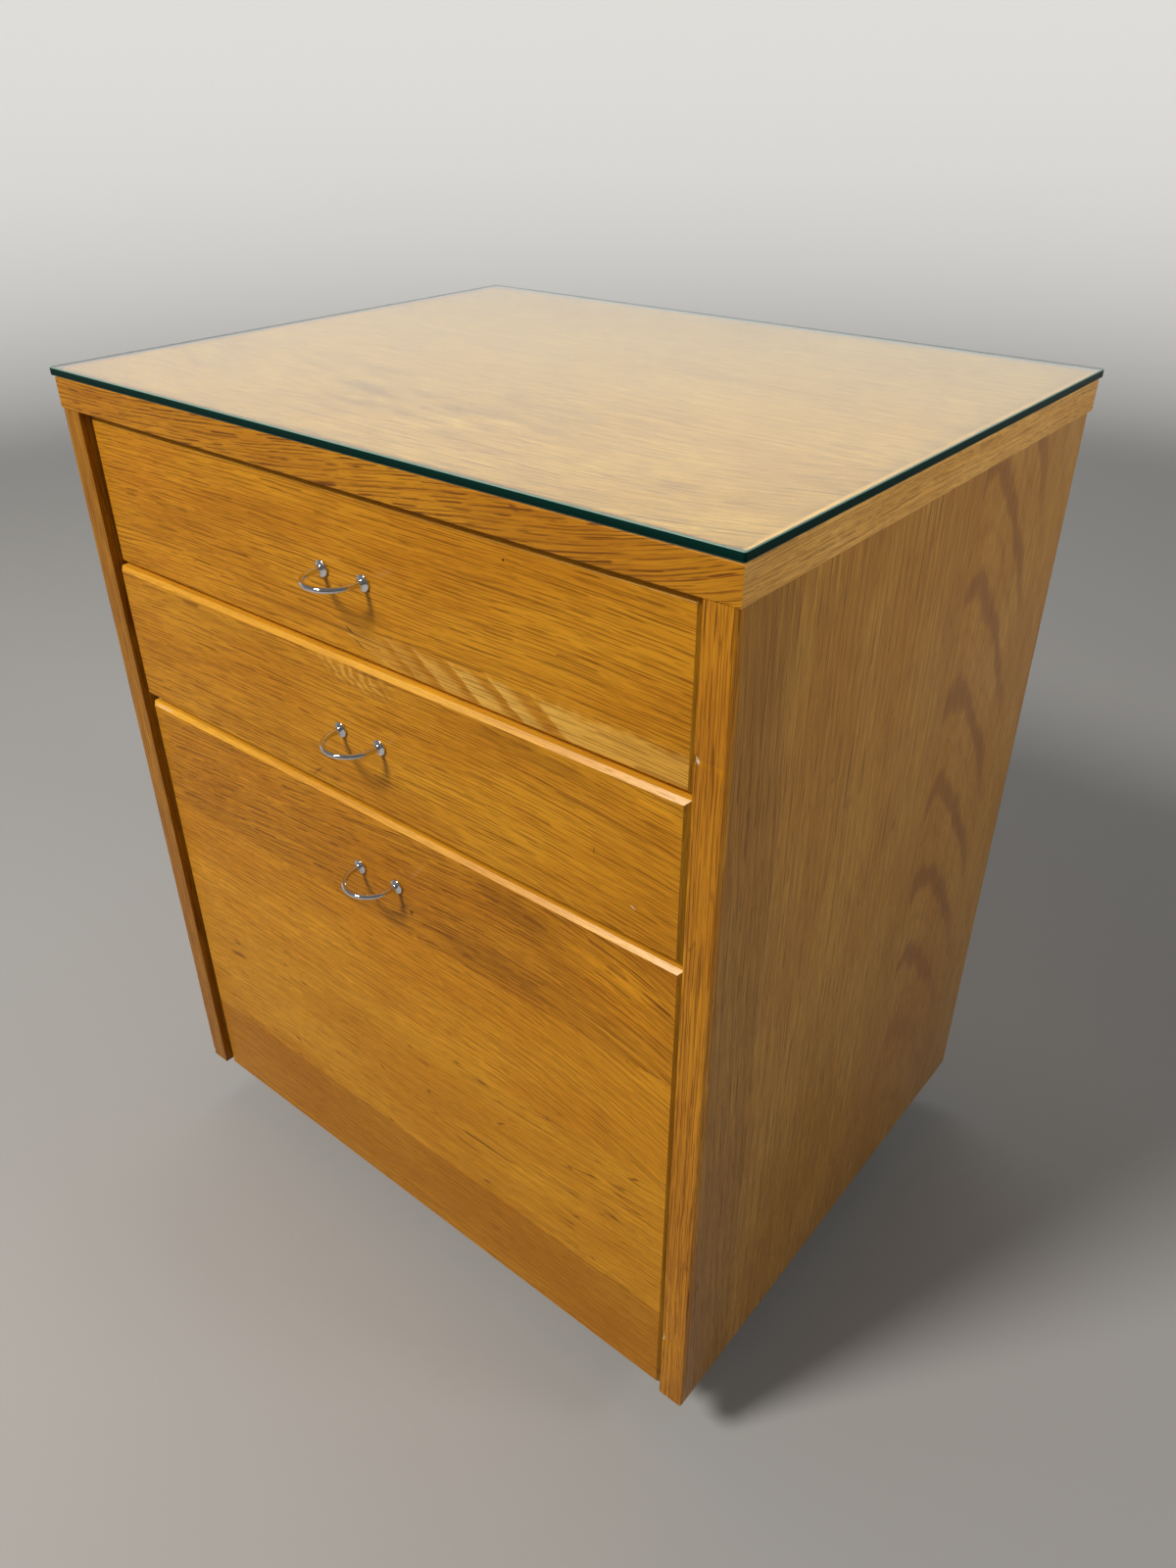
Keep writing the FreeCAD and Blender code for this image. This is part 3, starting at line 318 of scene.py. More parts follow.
        # broad dark growth zones whose arches follow one another along the board
        wide = net.noise(net.mad(u, 1 / 55.0, seed + 2.0), net.mul(v, 1 / 24.0), 0.0, 2.0)
        fold = net.sub(v, arch["at"])
        fold = net.math("SQRT", net.mad(fold, fold, 40.0))
        fall = net.mul(fold, net.mad(fold, 1.0 / arch.get("grow", 190.0), arch.get("first", 0.8)))
        turns = net.mad(net.add(u, fall), 1.0 / arch["pace"], arch.get("offset", 0.0))
        turns = net.mad(net.sub(wide, 0.5), 0.55, turns)
        zone = net.ramp(net.math("FRACT", turns), [
            (0.0, 0.05), (0.20, 0.10), (0.33, 0.85), (0.42, 1.0), (0.50, 0.70), (0.60, 0.15),
            (0.78, 0.0), (0.90, 0.22), (1.0, 0.05)])
        thin = net.ramp(net.math("FRACT", net.mul(turns, 5.0)), [
            (0.0, 0.0), (0.35, 0.15), (0.5, 1.0), (0.62, 0.2), (1.0, 0.0)])
        zone = net.mad(thin, 0.22, zone)
        if "reach" in arch:
            zone = net.mul(zone, net.step(fold, arch["reach"], arch["reach"] * 0.6, 0.15, 1.0))
        if "ends" in arch:
            zone = net.mul(zone, net.step(u, arch["ends"][0], arch["ends"][1], 0.25, 1.0))
        col = net.mix(net.mul(net.mul(zone, pick("broad", 0.0)), broad), col, tone["dark"])
    leaf_tint = pick("tint", (1.0, 1.0, 1.0))
    if isinstance(leaf_tint, bpy.types.NodeSocket):
        col = net.mix(1.0, col, leaf_tint, "MULTIPLY")
    rough = net.mad(net.sub(cloud, 0.5), 0.12, gloss)

    def apply(col, rough, p):
        if "shape" in p:
            m = p["shape"](net, u, flat)
        else:
            m = spot(net, u, flat, p["at"], p["size"], p.get("turn", 0.0), p.get("edge", 0.35),
                     p.get("hard", 0.6))
        m = net.mul(m, p.get("amount", 1.0))
        col = net.mix(m, col, p["colour"], p.get("mode", "MIX"))
        if p.get("rough"):
            rough = net.mad(m, p["rough"], rough)
        return col, rough

    for p in patches:
        if p.get("under"):
            col, rough = apply(col, rough, p)
    col = net.mix(net.mul(net.step(hair, 0.47, 0.68), 0.42), col, tone["dark"])
    if lines or any("lines" in leaf for leaf in leaves):
        # thin long lines, far apart
        n3 = net.noise(net.mad(u, 1 / 150.0, seed + 21.0), net.mul(vv, 1 / 9.0), net.mul(w, 1 / 9.0),
                       1.0, 0.4)
        ridge = net.math("ABSOLUTE", net.sub(n3, 0.5))
        gap = net.noise(net.mad(u, 1 / 45.0, seed + 22.0), net.mul(vv, 1 / 12.0), 0.0, 1.0)
        thin = net.mul(net.step(ridge, 0.012, 0.002), net.step(gap, 0.40, 0.55))
        col = net.mix(net.mul(thin, pick("lines", lines)), col, tone["streak"])
    col = net.mix(net.mul(mark, pick("dashes", dashes)), col, tone["streak"])
    col = net.mix(net.mul(pore, pores), col, tone["pore"])
    rough = net.mad(pore, 0.18, rough)
    height = net.sub(1.0, net.add(net.mul(mark, 0.5), net.mul(pore, 0.6)))
    for p in patches:
        if not p.get("under"):
            col, rough = apply(col, rough, p)
    net.set(Base_Color=col, Roughness=rough, Specular_IOR_Level=level)
    if coat:
        net.set(Coat_Weight=coat, Coat_Roughness=0.18)
    net.bump(height, bump, 0.00010)
    return net.m


def plain_wood(name, axes, c1, c2, layers=None, thick=1.4, low=0.0, gloss=0.55, seed=0.0):
    """Close-grained board; layers gives the axis through plywood, whose edges show plies."""
    net = Net(name)
    xyz = dict(zip("XYZ", net.coords()))
    u, v, w = (xyz[a] for a in axes)
    wander = net.noise(net.mad(u, 1 / 150.0, seed), net.mul(v, 1 / 40.0), net.mul(w, 1 / 40.0), 2.0)
    vv = net.mad(net.sub(wander, 0.5), 9.0, v)
    grain = net.noise(net.mad(u, 1 / 70.0, seed), net.mul(vv, 1 / 3.5), net.mul(w, 1 / 3.5), 4.0, 0.6)
    fleck = net.noise(net.mad(u, 1 / 6.0, seed + 2), net.mul(vv, 1 / 0.6), net.mul(w, 1 / 0.6), 1.0)
    cloud = net.noise(net.mad(u, 1 / 200.0, seed + 4), net.mul(v, 1 / 90.0), net.mul(w, 1 / 90.0), 2.0)
    col = net.mix(net.step(grain, 0.36, 0.64), c1, c2)
    col = net.mix(net.mul(net.step(cloud, 0.4, 0.7), 0.35), col, tuple(0.78 * x for x in c2))
    col = net.mix(net.mul(net.step(fleck, 0.60, 0.70), 0.35), col, tuple(0.55 * x for x in c2))
    rough = net.mad(net.sub(cloud, 0.5), 0.15, gloss)
    if layers:
        s = net.mad(net.sub(xyz[layers], low), 1.0 / thick, 0.3)
        jitter = net.noise(net.mul(xyz[axes[0]], 1 / 30.0), net.mul(s, 1.0), 0.0, 1.0)
        s = net.mad(net.sub(jitter, 0.5), 0.25, s)
        odd = net.math("FRACT", net.mul(s, 0.5))
        ply = net.step(odd, 0.47, 0.53)
        glue = net.step(net.math("ABSOLUTE", net.sub(net.math("FRACT", s), 0.5)), 0.44, 0.49)
        endgrain = net.noise(net.mul(xyz["X"], 1 / 0.9), net.mul(xyz["Y"], 1 / 0.9),
                             net.mul(xyz["Z"], 1 / 0.9), 2.0)
        brown = net.mix(net.step(endgrain, 0.4, 0.62), tuple(0.62 * x for x in c2),
                        tuple(0.42 * x for x in c2))
        col = net.mix(net.mul(ply, 0.75), col, brown)
        col = net.mix(net.mul(glue, 0.65), col, (0.07, 0.035, 0.015))
        rough = net.mad(ply, 0.2, rough)
    net.set(Base_Color=col, Roughness=rough, Specular_IOR_Level=0.35)
    net.bump(grain, 0.25, 0.00015)
    return net.m


def chipboard(name):
    net = Net(name)
    x, y, z = net.coords()
    v = net.n("ShaderNodeTexVoronoi", feature="F1", distance="EUCLIDEAN")
    net.put(v.inputs["Vector"], net.vec(net.mul(x, 0.45), net.mul(y, 0.45), net.mul(z, 0.75)))
    v.inputs["Scale"].default_value = 1.0
    bits = net.n("ShaderNodeSeparateColor")
    net.t.links.new(v.outputs["Color"], bits.inputs[0])
    fine = net.noise(net.mul(x, 1.6), net.mul(y, 1.6), net.mul(z, 1.6), 3.0)
    col = net.ramp(bits.outputs[0], [(0.0, (0.36, 0.22, 0.10)), (0.35, (0.50, 0.34, 0.17)),
                                     (0.7, (0.60, 0.44, 0.25)), (1.0, (0.28, 0.16, 0.07))])
    col = net.mix(net.mul(net.step(fine, 0.55, 0.68), 0.6), col, (0.12, 0.06, 0.03))
    net.set(Base_Color=col, Roughness=net.mad(fine, 0.2, 0.72), Specular_IOR_Level=0.2)
    net.bump(net.add(v.outputs["Distance"], fine), 0.5, 0.0003)
    return net.m


def metal(name, colour, rough, grain=(0.02, 0.6), axis="X", worn=0.08, bump=0.12, dirt=0.0):
    """Bare or plated metal, slightly uneven, with fine marks along one axis."""
    net = Net(name)
    xyz = dict(zip("XYZ", net.coords()))
    s = {a: net.mul(xyz[a], grain[0] if a == axis else grain[1] * 4.0) for a in "XYZ"}
    scratch = net.noise(s["X"], s["Y"], s["Z"], 3.0, 0.7)
    cloud = net.noise(net.mul(xyz["X"], 0.06), net.mul(xyz["Y"], 0.06), net.mul(xyz["Z"], 0.06),
                      3.0, 0.55)
    r = net.mad(net.sub(cloud, 0.5), worn * 2.0, rough)
    r = net.mad(net.sub(scratch, 0.5), worn, r)
    col = net.mix(net.step(cloud, 0.35, 0.7), colour, tuple(0.86 * c for c in colour))
    if dirt:
        grime = net.noise(net.mul(xyz["X"], 0.35), net.mul(xyz["Y"], 0.35),
                          net.mul(xyz["Z"], 0.35), 4.0, 0.6)
        g = net.mul(net.step(grime, 0.52, 0.70), dirt)
        col = net.mix(g, col, (0.10, 0.085, 0.07))
        r = net.mad(g, 0.35, r)
    net.set(Base_Color=col, Metallic=1.0, Roughness=r)
    net.bump(scratch, bump, 0.00003)
    return net.m


def coated(name, colour, rough=0.42, rubbed=(0.42, 0.42, 0.42), amount=0.5):
    """Powder-coated steel: fine orange peel, greyer where it has been rubbed."""
    net = Net(name)
    x, y, z = net.coords()
    peel = net.noise(net.mul(x, 0.9), net.mul(y, 0.9), net.mul(z, 0.9), 2.0)
    rub = net.noise(net.mul(x, 0.5), net.mul(y, 0.012), net.mul(z, 0.5), 3.0, 0.6)
    cloud = net.noise(net.mul(x, 0.04), net.mul(y, 0.02), net.mul(z, 0.04), 3.0)
    col = net.mix(net.mul(net.step(cloud, 0.4, 0.7), 0.5), colour, tuple(0.88 * c for c in colour))
    m = net.mul(net.step(rub, 0.56, 0.68), amount)
    col = net.mix(m, col, rubbed)
    net.set(Base_Color=col, Roughness=net.mad(m, 0.12, rough), Specular_IOR_Level=0.5,
            Coat_Weight=0.1, Coat_Roughness=0.2)
    net.bump(peel, 0.18, 0.0001)
    return net.m


def plastic(name, colour, rough, dust=(0.3, 0.3, 0.3), dusty=0.25, scale=0.25, sheen=0.0):
    net = Net(name)
    x, y, z = net.coords()
    n1 = net.noise(net.mul(x, scale), net.mul(y, scale), net.mul(z, scale), 4.0, 0.6)
    n2 = net.noise(net.mul(x, 2.2), net.mul(y, 2.2), net.mul(z, 2.2), 3.0, 0.6)
    m = net.mul(net.step(n1, 0.46, 0.72), dusty)
    col = net.mix(m, colour, dust)
    net.set(Base_Color=col, Roughness=net.mad(n2, 0.16, net.mad(m, 0.3, rough - 0.08)),
            Specular_IOR_Level=0.45)
    net.bump(n2, 0.12, 0.0001)
    return net.m


# ---------------------------------------------------------------- the woods
mat = {}

LIP = tint(HONEY, 0.96, 1.0, 0.96, 0.7)
SIDE = tint(HONEY, 0.89, 0.97, 1.08, 2.9)
# the top's oak tone made paler and yellower: painted haze standing in for the reflection in the glass sheet
TOP_TONE_WITH_PAINTED_HAZE = tint(HONEY, 0.88, 0.94, 1.21, 3.8)
# EDGE is a brighter, paler copy of the oak: painted highlight for the bevels and edges of the drawer fronts that
# catch the light
EDGE = tint(HONEY, 1.25, 1.05, 1.22, 1.9)


def flame_ways(net, u, v):
    """How far inside the pale figure a point lies, and how pale it is between the strokes."""
    wob = net.noise(net.mul(u, 1 / 11.0), net.mul(v, 1 / 7.0), 2.0, 2.0)
    inside = net.step(net.mad(net.sub(wob, 0.5), 13.0, v), 610.5, 604.0)
    sway = net.noise(net.mul(u, 1 / 15.0), net.mul(v, 1 / 7.0), 7.0, 2.0)
    across = net.mad(net.sub(v, 586.0), 1.4, net.mad(net.sub(sway, 0.5), 12.0, u))
    pale = net.ramp(net.mul(net.sub(across, 20.0), 1 / 220.0), [
        (0.0, 0.0), (0.06, 0.12), (0.165, 0.30), (0.192, 0.05), (0.210, 0.05), (0.222, 0.45),
        (0.270, 0.36), (0.300, 0.05), (0.322, 0.05), (0.334, 0.75), (0.395, 0.55), (0.430, 0.10),
        (0.462, 0.05), (0.474, 1.0), (0.545, 0.75), (0.580, 0.12), (0.615, 0.05), (0.627, 1.0),
        (0.675, 0.70), (0.705, 0.12), (0.762, 0.05), (0.776, 0.85), (0.86, 0.70), (1.0, 0.50)])
    return inside, across, pale


def flame(net, u, v):
    inside, across, pale = flame_ways(net, u, v)
    return net.mul(inside, pale)


def flame_bars(net, u, v):
    inside, across, pale = flame_ways(net, u, v)
    ends = net.mul(net.step(across, 40.0, 75.0), net.step(across, 200.0, 192.0))
    return net.mul(net.mul(inside, ends), net.sub(1.0, pale))


def curls(net, u, v):
    """Strokes beside each other that drop and sweep aside, as where a branch began."""
    drop = net.mul(net.math("MAXIMUM", net.sub(580.0, v), 0.0), 1 / 15.0)
    sway = net.noise(net.mul(u, 1 / 14.0), net.mul(v, 1 / 5.0), 4.0, 2.0)
    c = net.mad(net.mul(drop, drop), -13.0, net.mad(net.sub(sway, 0.5), 15.0, u))
    arcs = net.step(net.math("SINE", net.mul(c, 6.2832 / 9.6)), -0.7, 0.9)
    zone = spot(net, u, v, (6.0, 573.0), (48.0, 13.0), -4.0, 0.45, 0.25)
    return net.mul(arcs, zone)


def curl_gaps(net, u, v):
    zone = spot(net, u, v, (6.0, 573.0), (50.0, 14.0), -4.0, 0.45, 0.25)
    return net.mul(net.sub(1.0, curls(net, u, v)), zone)


mat["front_top"] = oak(
    "oak_front_top", "XZY", HONEY, pith=(830.0, 30.0), ring=4.6, seed=2.3, wave=1.2, band=0.14,
    dash=(30.0, 1.12), dashes=0.74, mottle=0.32, level=0.13,
    leaves=[dict(slope=0.008, bends=[(-40.0, -1, 0.00010), (150.0, 1, 0.00022)])],
    patches=[
        dict(shape=flame, under=True, colour=(0.84, 0.49, 0.095), amount=0.80),
        dict(shape=flame_bars, under=True, colour=(0.42, 0.155, 0.008), amount=0.50),
        dict(shape=flame, colour=(0.82, 0.48, 0.095), amount=0.28),
        dict(at=(8.0, 600.0), size=(27.0, 1.3), under=True, turn=-18.0, colour=(0.80, 0.45, 0.08),
             amount=0.45, edge=0.25, hard=0.2),
        dict(at=(30.0, 593.5), size=(22.0, 1.2), under=True, turn=-20.0, colour=(0.80, 0.45, 0.08),
             amount=0.40, edge=0.25, hard=0.2),
        dict(at=(-180.0, 604.0), size=(95.0, 20.0), under=True, turn=-3.0,
             colour=(1.16, 1.18, 1.15), mode="MULTIPLY", amount=0.7, edge=0.6, hard=0.3),
        dict(at=(-215.0, 668.0), size=(60.0, 26.0), under=True, colour=(1.10, 1.05, 1.35),
             mode="MULTIPLY", amount=0.6, hard=0.2),
        dict(at=(-80.0, 665.0), size=(120.0, 26.0), under=True, colour=(0.90, 0.86, 0.90),
             mode="MULTIPLY", amount=0.6, hard=0.2),
        dict(at=(3.0, 605.0), size=(5.0, 1.3), turn=-28.0, colour=(0.10, 0.035, 0.004), amount=0.75,
             hard=0.3),
        dict(at=(11.5, 597.5), size=(7.0, 1.0), turn=-32.0, colour=(0.10, 0.035, 0.004), amount=0.7,
             hard=0.3),
        dict(at=(141.0, 684.4), size=(1.0, 1.0), colour=(0.03, 0.012, 0.002), amount=0.95, edge=0.2),
        # painted reflection: a faint pale streak of light thrown by the chrome pull, up and right of its right foot
        dict(at=(42.0, 652.0), size=(15.0, 2.6), turn=26.0, colour=(0.66, 0.37, 0.16), amount=0.16,
             edge=0.2, hard=0.0),
    ])
mat["front_middle"] = oak(
    "oak_front_middle", "XZY", HONEY, pith=(705.0, 26.0), ring=4.6, seed=5.9, wave=1.6, band=0.14,
    dash=(30.0, 1.15), dashes=0.76, mottle=0.32, level=0.13,
    leaves=[dict(slope=0.0, bends=[(60.0, 1, 0.00030), (-60.0, -1, 0.00010)])],
    patches=[
        dict(shape=curls, under=True, colour=(0.80, 0.455, 0.085), amount=0.52),
        dict(shape=curls, colour=(0.76, 0.42, 0.07), amount=0.18),
        dict(shape=curl_gaps, under=True, colour=(0.42, 0.150, 0.008), amount=0.35),
        dict(at=(-120.0, 570.0), size=(110.0, 12.0), under=True, turn=-2.0,
             colour=(0.80, 0.80, 0.75), mode="MULTIPLY", amount=0.5, edge=0.5, hard=0.2),
        dict(at=(160.0, 571.0), size=(72.0, 9.0), under=True, turn=-2.0,
             colour=(0.74, 0.72, 0.60), mode="MULTIPLY", amount=0.75, edge=0.6, hard=0.2),
        # painted light: the right half and the upper right corner of this front are made paler and brighter, as where
        # the lamp falls more strongly
        dict(at=(150.0, 512.0), size=(190.0, 50.0), under=True,
             colour=(1.16, 1.24, 1.30), mode="MULTIPLY", amount=0.8, edge=0.3, hard=0.1),
        dict(at=(252.0, 566.0), size=(26.0, 13.0), under=True, turn=-14.0,
             colour=(1.22, 1.25, 1.20), mode="MULTIPLY", amount=0.7, edge=0.4, hard=0.3),
        dict(at=(206.6, 524.7), size=(0.5, 2.6), colour=(0.10, 0.04, 0.004), amount=0.8, edge=0.2),
        dict(at=(235.5, 497.5), size=(2.4, 0.8), turn=-35.0, colour=(0.75, 0.50, 0.30), amount=0.8),
        dict(at=(-47.0, 482.0), size=(10.0, 0.8), turn=38.0, colour=(0.12, 0.045, 0.006),
             amount=0.55),
        # painted reflection: a faint pale streak of light thrown by the chrome pull, up and right of its right foot
        dict(at=(36.0, 535.0), size=(10.0, 2.4), turn=40.0, colour=(0.66, 0.37, 0.16), amount=0.14,
             edge=0.2, hard=0.0),
    ])
mat["front_file"] = oak(
    "oak_front_file", "XZY", HONEY, pith=(610.0, 34.0), ring=5.2, seed=8.4, wave=2.2, band=0.16,
    dash=(24.0, 1.25), dashes=0.60, mottle=0.36, level=0.13, restless=2.0,
    leaves=[
        dict(tint=(0.84, 0.79, 0.68), dashes=0.34, lines=0.10, wave=3.0, shift=90.0, band=0.28),
        dict(start=140.5, wander=9.0, soft=1.2, pace=60.0, tint=(1.06, 1.08, 1.02), dashes=0.34,
             lines=0.75, wave=1.6, shift=-170.0, band=0.06,
             bends=[(-120.0, -1, 0.00030), (60.0, 1, -0.00012)]),
        dict(start=272.0, tint=(1.12, 1.13, 1.02), dashes=0.56, lines=0.25, shift=-90.0, wave=2.6,
             band=0.22, bends=[(60.0, 1, 0.00080), (-170.0, -1, 0.0003)]),
        dict(start=371.8, tint=(0.93, 0.88, 0.70), dashes=0.95, lines=0.30, shift=55.0, wave=3.2,
             band=0.30, slope=-0.085, bends=[(40.0, 1, 0.00050), (150.0, 1, 0.00090)]),
    ],
    patches=[
        dict(at=(112.0, 390.0), size=(78.0, 20.0), under=True, turn=2.0,
             colour=(0.62, 0.57, 0.40), mode="MULTIPLY", amount=0.85, edge=0.7, hard=0.1),
        dict(at=(136.0, 448.0), size=(48.0, 18.0), under=True, turn=-12.0,
             colour=(0.60, 0.55, 0.38), mode="MULTIPLY", amount=0.85, edge=0.7, hard=0.1),
        # painted light: the upper right of this front is made paler and brighter, as where the lamp falls more
        # strongly
        dict(at=(225.0, 425.0), size=(50.0, 40.0), under=True, turn=-12.0,
             colour=(1.28, 1.30, 1.10), mode="MULTIPLY", amount=0.85, edge=0.5, hard=0.2),
        dict(at=(-150.0, 440.0), size=(120.0, 26.0), under=True, colour=(1.10, 1.06, 0.95),
             mode="MULTIPLY", amount=0.5, edge=0.5, hard=0.2),
        dict(at=(37.1, 394.3), size=(2.6, 1.7), turn=25.0, colour=(0.09, 0.030, 0.003), amount=0.85),
        dict(at=(31.0, 397.0), size=(4.6, 1.5), turn=28.0, colour=(0.20, 0.075, 0.008), amount=0.55),
        dict(at=(-156.0, 83.0), size=(8.0, 1.6), turn=2.0, colour=(0.16, 0.055, 0.006), amount=0.6,
             hard=0.2),
        # painted reflection: a faint pale streak of light thrown by the chrome pull, up and right of its right foot
        dict(at=(47.0, 434.0), size=(20.0, 2.4), turn=50.0, colour=(0.66, 0.37, 0.16), amount=0.16,
             edge=0.2, hard=0.0),
    ])
mat["front_back"] = oak("oak_front_inside", "XZY", tint(HONEY, 0.9), pith=(100.0, 60.0), seed=11.0)
# level edges and bevels of the fronts: the brightened EDGE tone, as painted highlight
mat["edge_along"] = oak(
    "oak_edge_level_painted_highlight", "XZY", EDGE, pith=(0.0, 300.0), ring=3.6, turned=0.9, seed=14.0, wave=1.0, band=0.12,
    dash=(22.0, 0.9), dashes=0.30, pores=0.25, mottle=0.3, gloss=0.33, level=0.45, patches=[
        dict(at=(-249.0, 463.2), size=(15.0, 0.7), colour=(0.82, 0.62, 0.48), amount=0.6, edge=0.6)])
# upright edges and bevels of the fronts: the same tone darkened, as painted shade
mat["edge_up"] = oak(
    "oak_edge_upright_painted_shade", "ZXY", tint(EDGE, 0.62), pith=(0.0, 300.0), ring=3.6, turned=0.9, seed=15.0, wave=1.0,
    band=0.2, dash=(22.0, 0.9), dashes=0.4, mottle=0.3)
mat["lip_panel_l"] = oak("oak_lipping_left", "ZXY", tint(LIP, 0.74), pith=(-420.0, 30.0), ring=3.4,
                         turned=0.9, seed=17.0, wave=0.8, band=0.3, dash=(34.0, 0.95), dashes=0.85, lines=0.3)
mat["lip_panel_r"] = oak(
    "oak_lipping_right", "ZXY", LIP, pith=(-150.0, 24.0), ring=3.4, turned=0.9, seed=19.0, wave=0.8, band=0.35,
    dash=(38.0, 0.95), dashes=0.90, lines=0.4, patches=[
        dict(at=(125.3, 274.8), size=(4.0, 1.2), colour=(0.72, 0.50, 0.28), amount=0.8),
        dict(at=(612.3, 275.2), size=(3.0, 1.2), turn=-30.0, colour=(0.74, 0.58, 0.40), amount=0.8)])
mat["lip_front"] = oak(
    "oak_lipping_top_front", "XZY", tint(LIP, 0.94), pith=(640.0, 14.0), ring=4.0, turned=0.9, seed=23.0, wave=1.6,
    band=0.22, dash=(26.0, 1.25), dashes=1.0, pores=0.30, mottle=0.4,
    leaves=[dict(slope=-0.14, bends=[(40.0, -1, -0.00020), (170.0, 1, -0.0008)])],
    patches=[dict(at=(155.5, 717.6), size=(4.2, 1.8), turn=-12.0, colour=(0.20, 0.060, 0.004),
                  amount=0.8)])
mat["lip_left"] = oak("oak_lipping_top_left", "YZX", LIP, pith=(640.0, 20.0), ring=4.0, turned=0.9, seed=27.0,
                      wave=1.6, dash=(12.0, 1.0), dashes=0.75)
# the top's right lipping: the lipping tone made much brighter and paler, as painted sheen
mat["lip_right"] = oak(
    "oak_lipping_top_right_painted_sheen", "YZX", tint(LIP, 1.42, 0.97, 1.26, 8.5), pith=(640.0, 20.0), ring=4.0,
    turned=0.9, seed=29.0, wave=1.6, dash=(18.0, 1.0), dashes=0.55, lines=0.2, level=0.4)


def seam_painted_highlight(net, u, v):
    """A painted highlight along the line where two leaves of veneer meet."""
    d = net.math("ABSOLUTE", net.sub(v, -161.2))
    ends = net.mul(net.step(u, 350.0, 380.0), net.step(u, 498.0, 470.0))
    return net.mul(net.step(d, 1.1, 0.3), ends)


SIDE_MARKS = [
    dict(at=(463.0, 4.0), size=(6.0, 1.4), turn=20.0, colour=(0.10, 0.04, 0.012), amount=0.7),
    # painted highlight along part of the veneer joint
    dict(shape=seam_painted_highlight, under=True, colour=(0.60, 0.40, 0.15), amount=0.5),
    dict(at=(660.0, -190.0), size=(60.0, 26.0), under=True, colour=(0.86, 0.80, 0.78),
         mode="MULTIPLY", amount=0.6, hard=0.2),
]
mat["side_right"] = oak(
    "oak_side_right", "ZYX", SIDE, pith=(72.0, 50.0), taper=0.05, ring=6.4, seed=31.0,
    arch=dict(at=77.0, pace=80.0, offset=0.595, reach=120.0, ends=(120.0, 330.0)), wave=1.6,
    band=0.22, broad=0.95, dash=(34.0, 1.2), dashes=0.40, pores=0.3, mottle=0.4, level=0.42,
    gloss=0.30,
    leaves=[
        dict(tint=(0.86, 0.84, 0.74), shift=600.0, dashes=0.70, wave=3.4, slope=0.02, band=0.34),
        dict(start=-161.4, tint=(1.03, 1.03, 1.03), shift=820.0, dashes=0.55, lines=0.35, band=0.34,
             slope=-0.012),
        dict(start=8.4, tint=(0.97, 0.95, 0.92), shift=700.0, dashes=0.50, band=0.26),
        dict(start=61.0, soft=1.5, tint=(1.02, 1.0, 0.98), shift=300.0, dashes=0.32, broad=1.0,
             band=0.0, wave=5.0),
    ],
    patches=SIDE_MARKS)
mat["side_left"] = oak(
    "oak_side_left", "ZYX", tint(SIDE, 1.1), pith=(-34.0, 62.0), taper=0.05, ring=6.2,
    arch=dict(at=-32.0, first=1.6, grow=60.0, pace=86.0, offset=0.2), seed=37.0, wave=2.6,
    band=0.22, broad=0.7, dash=(34.0, 1.2), dashes=0.40, pores=0.3,
    leaves=[
        dict(tint=(1.0, 1.0, 1.0), shift=700.0, dashes=0.42, lines=0.2, band=0.30),
        dict(start=-120.0, tint=(0.97, 0.94, 0.92), shift=0.0, broad=1.0, band=0.0, wave=4.0),
        dict(start=64.0, tint=(0.92, 0.88, 0.84), shift=760.0, dashes=0.5, band=0.28),
        dict(start=170.0, tint=(1.03, 1.03, 1.03), shift=560.0, dashes=0.4, lines=0.3),
    ])
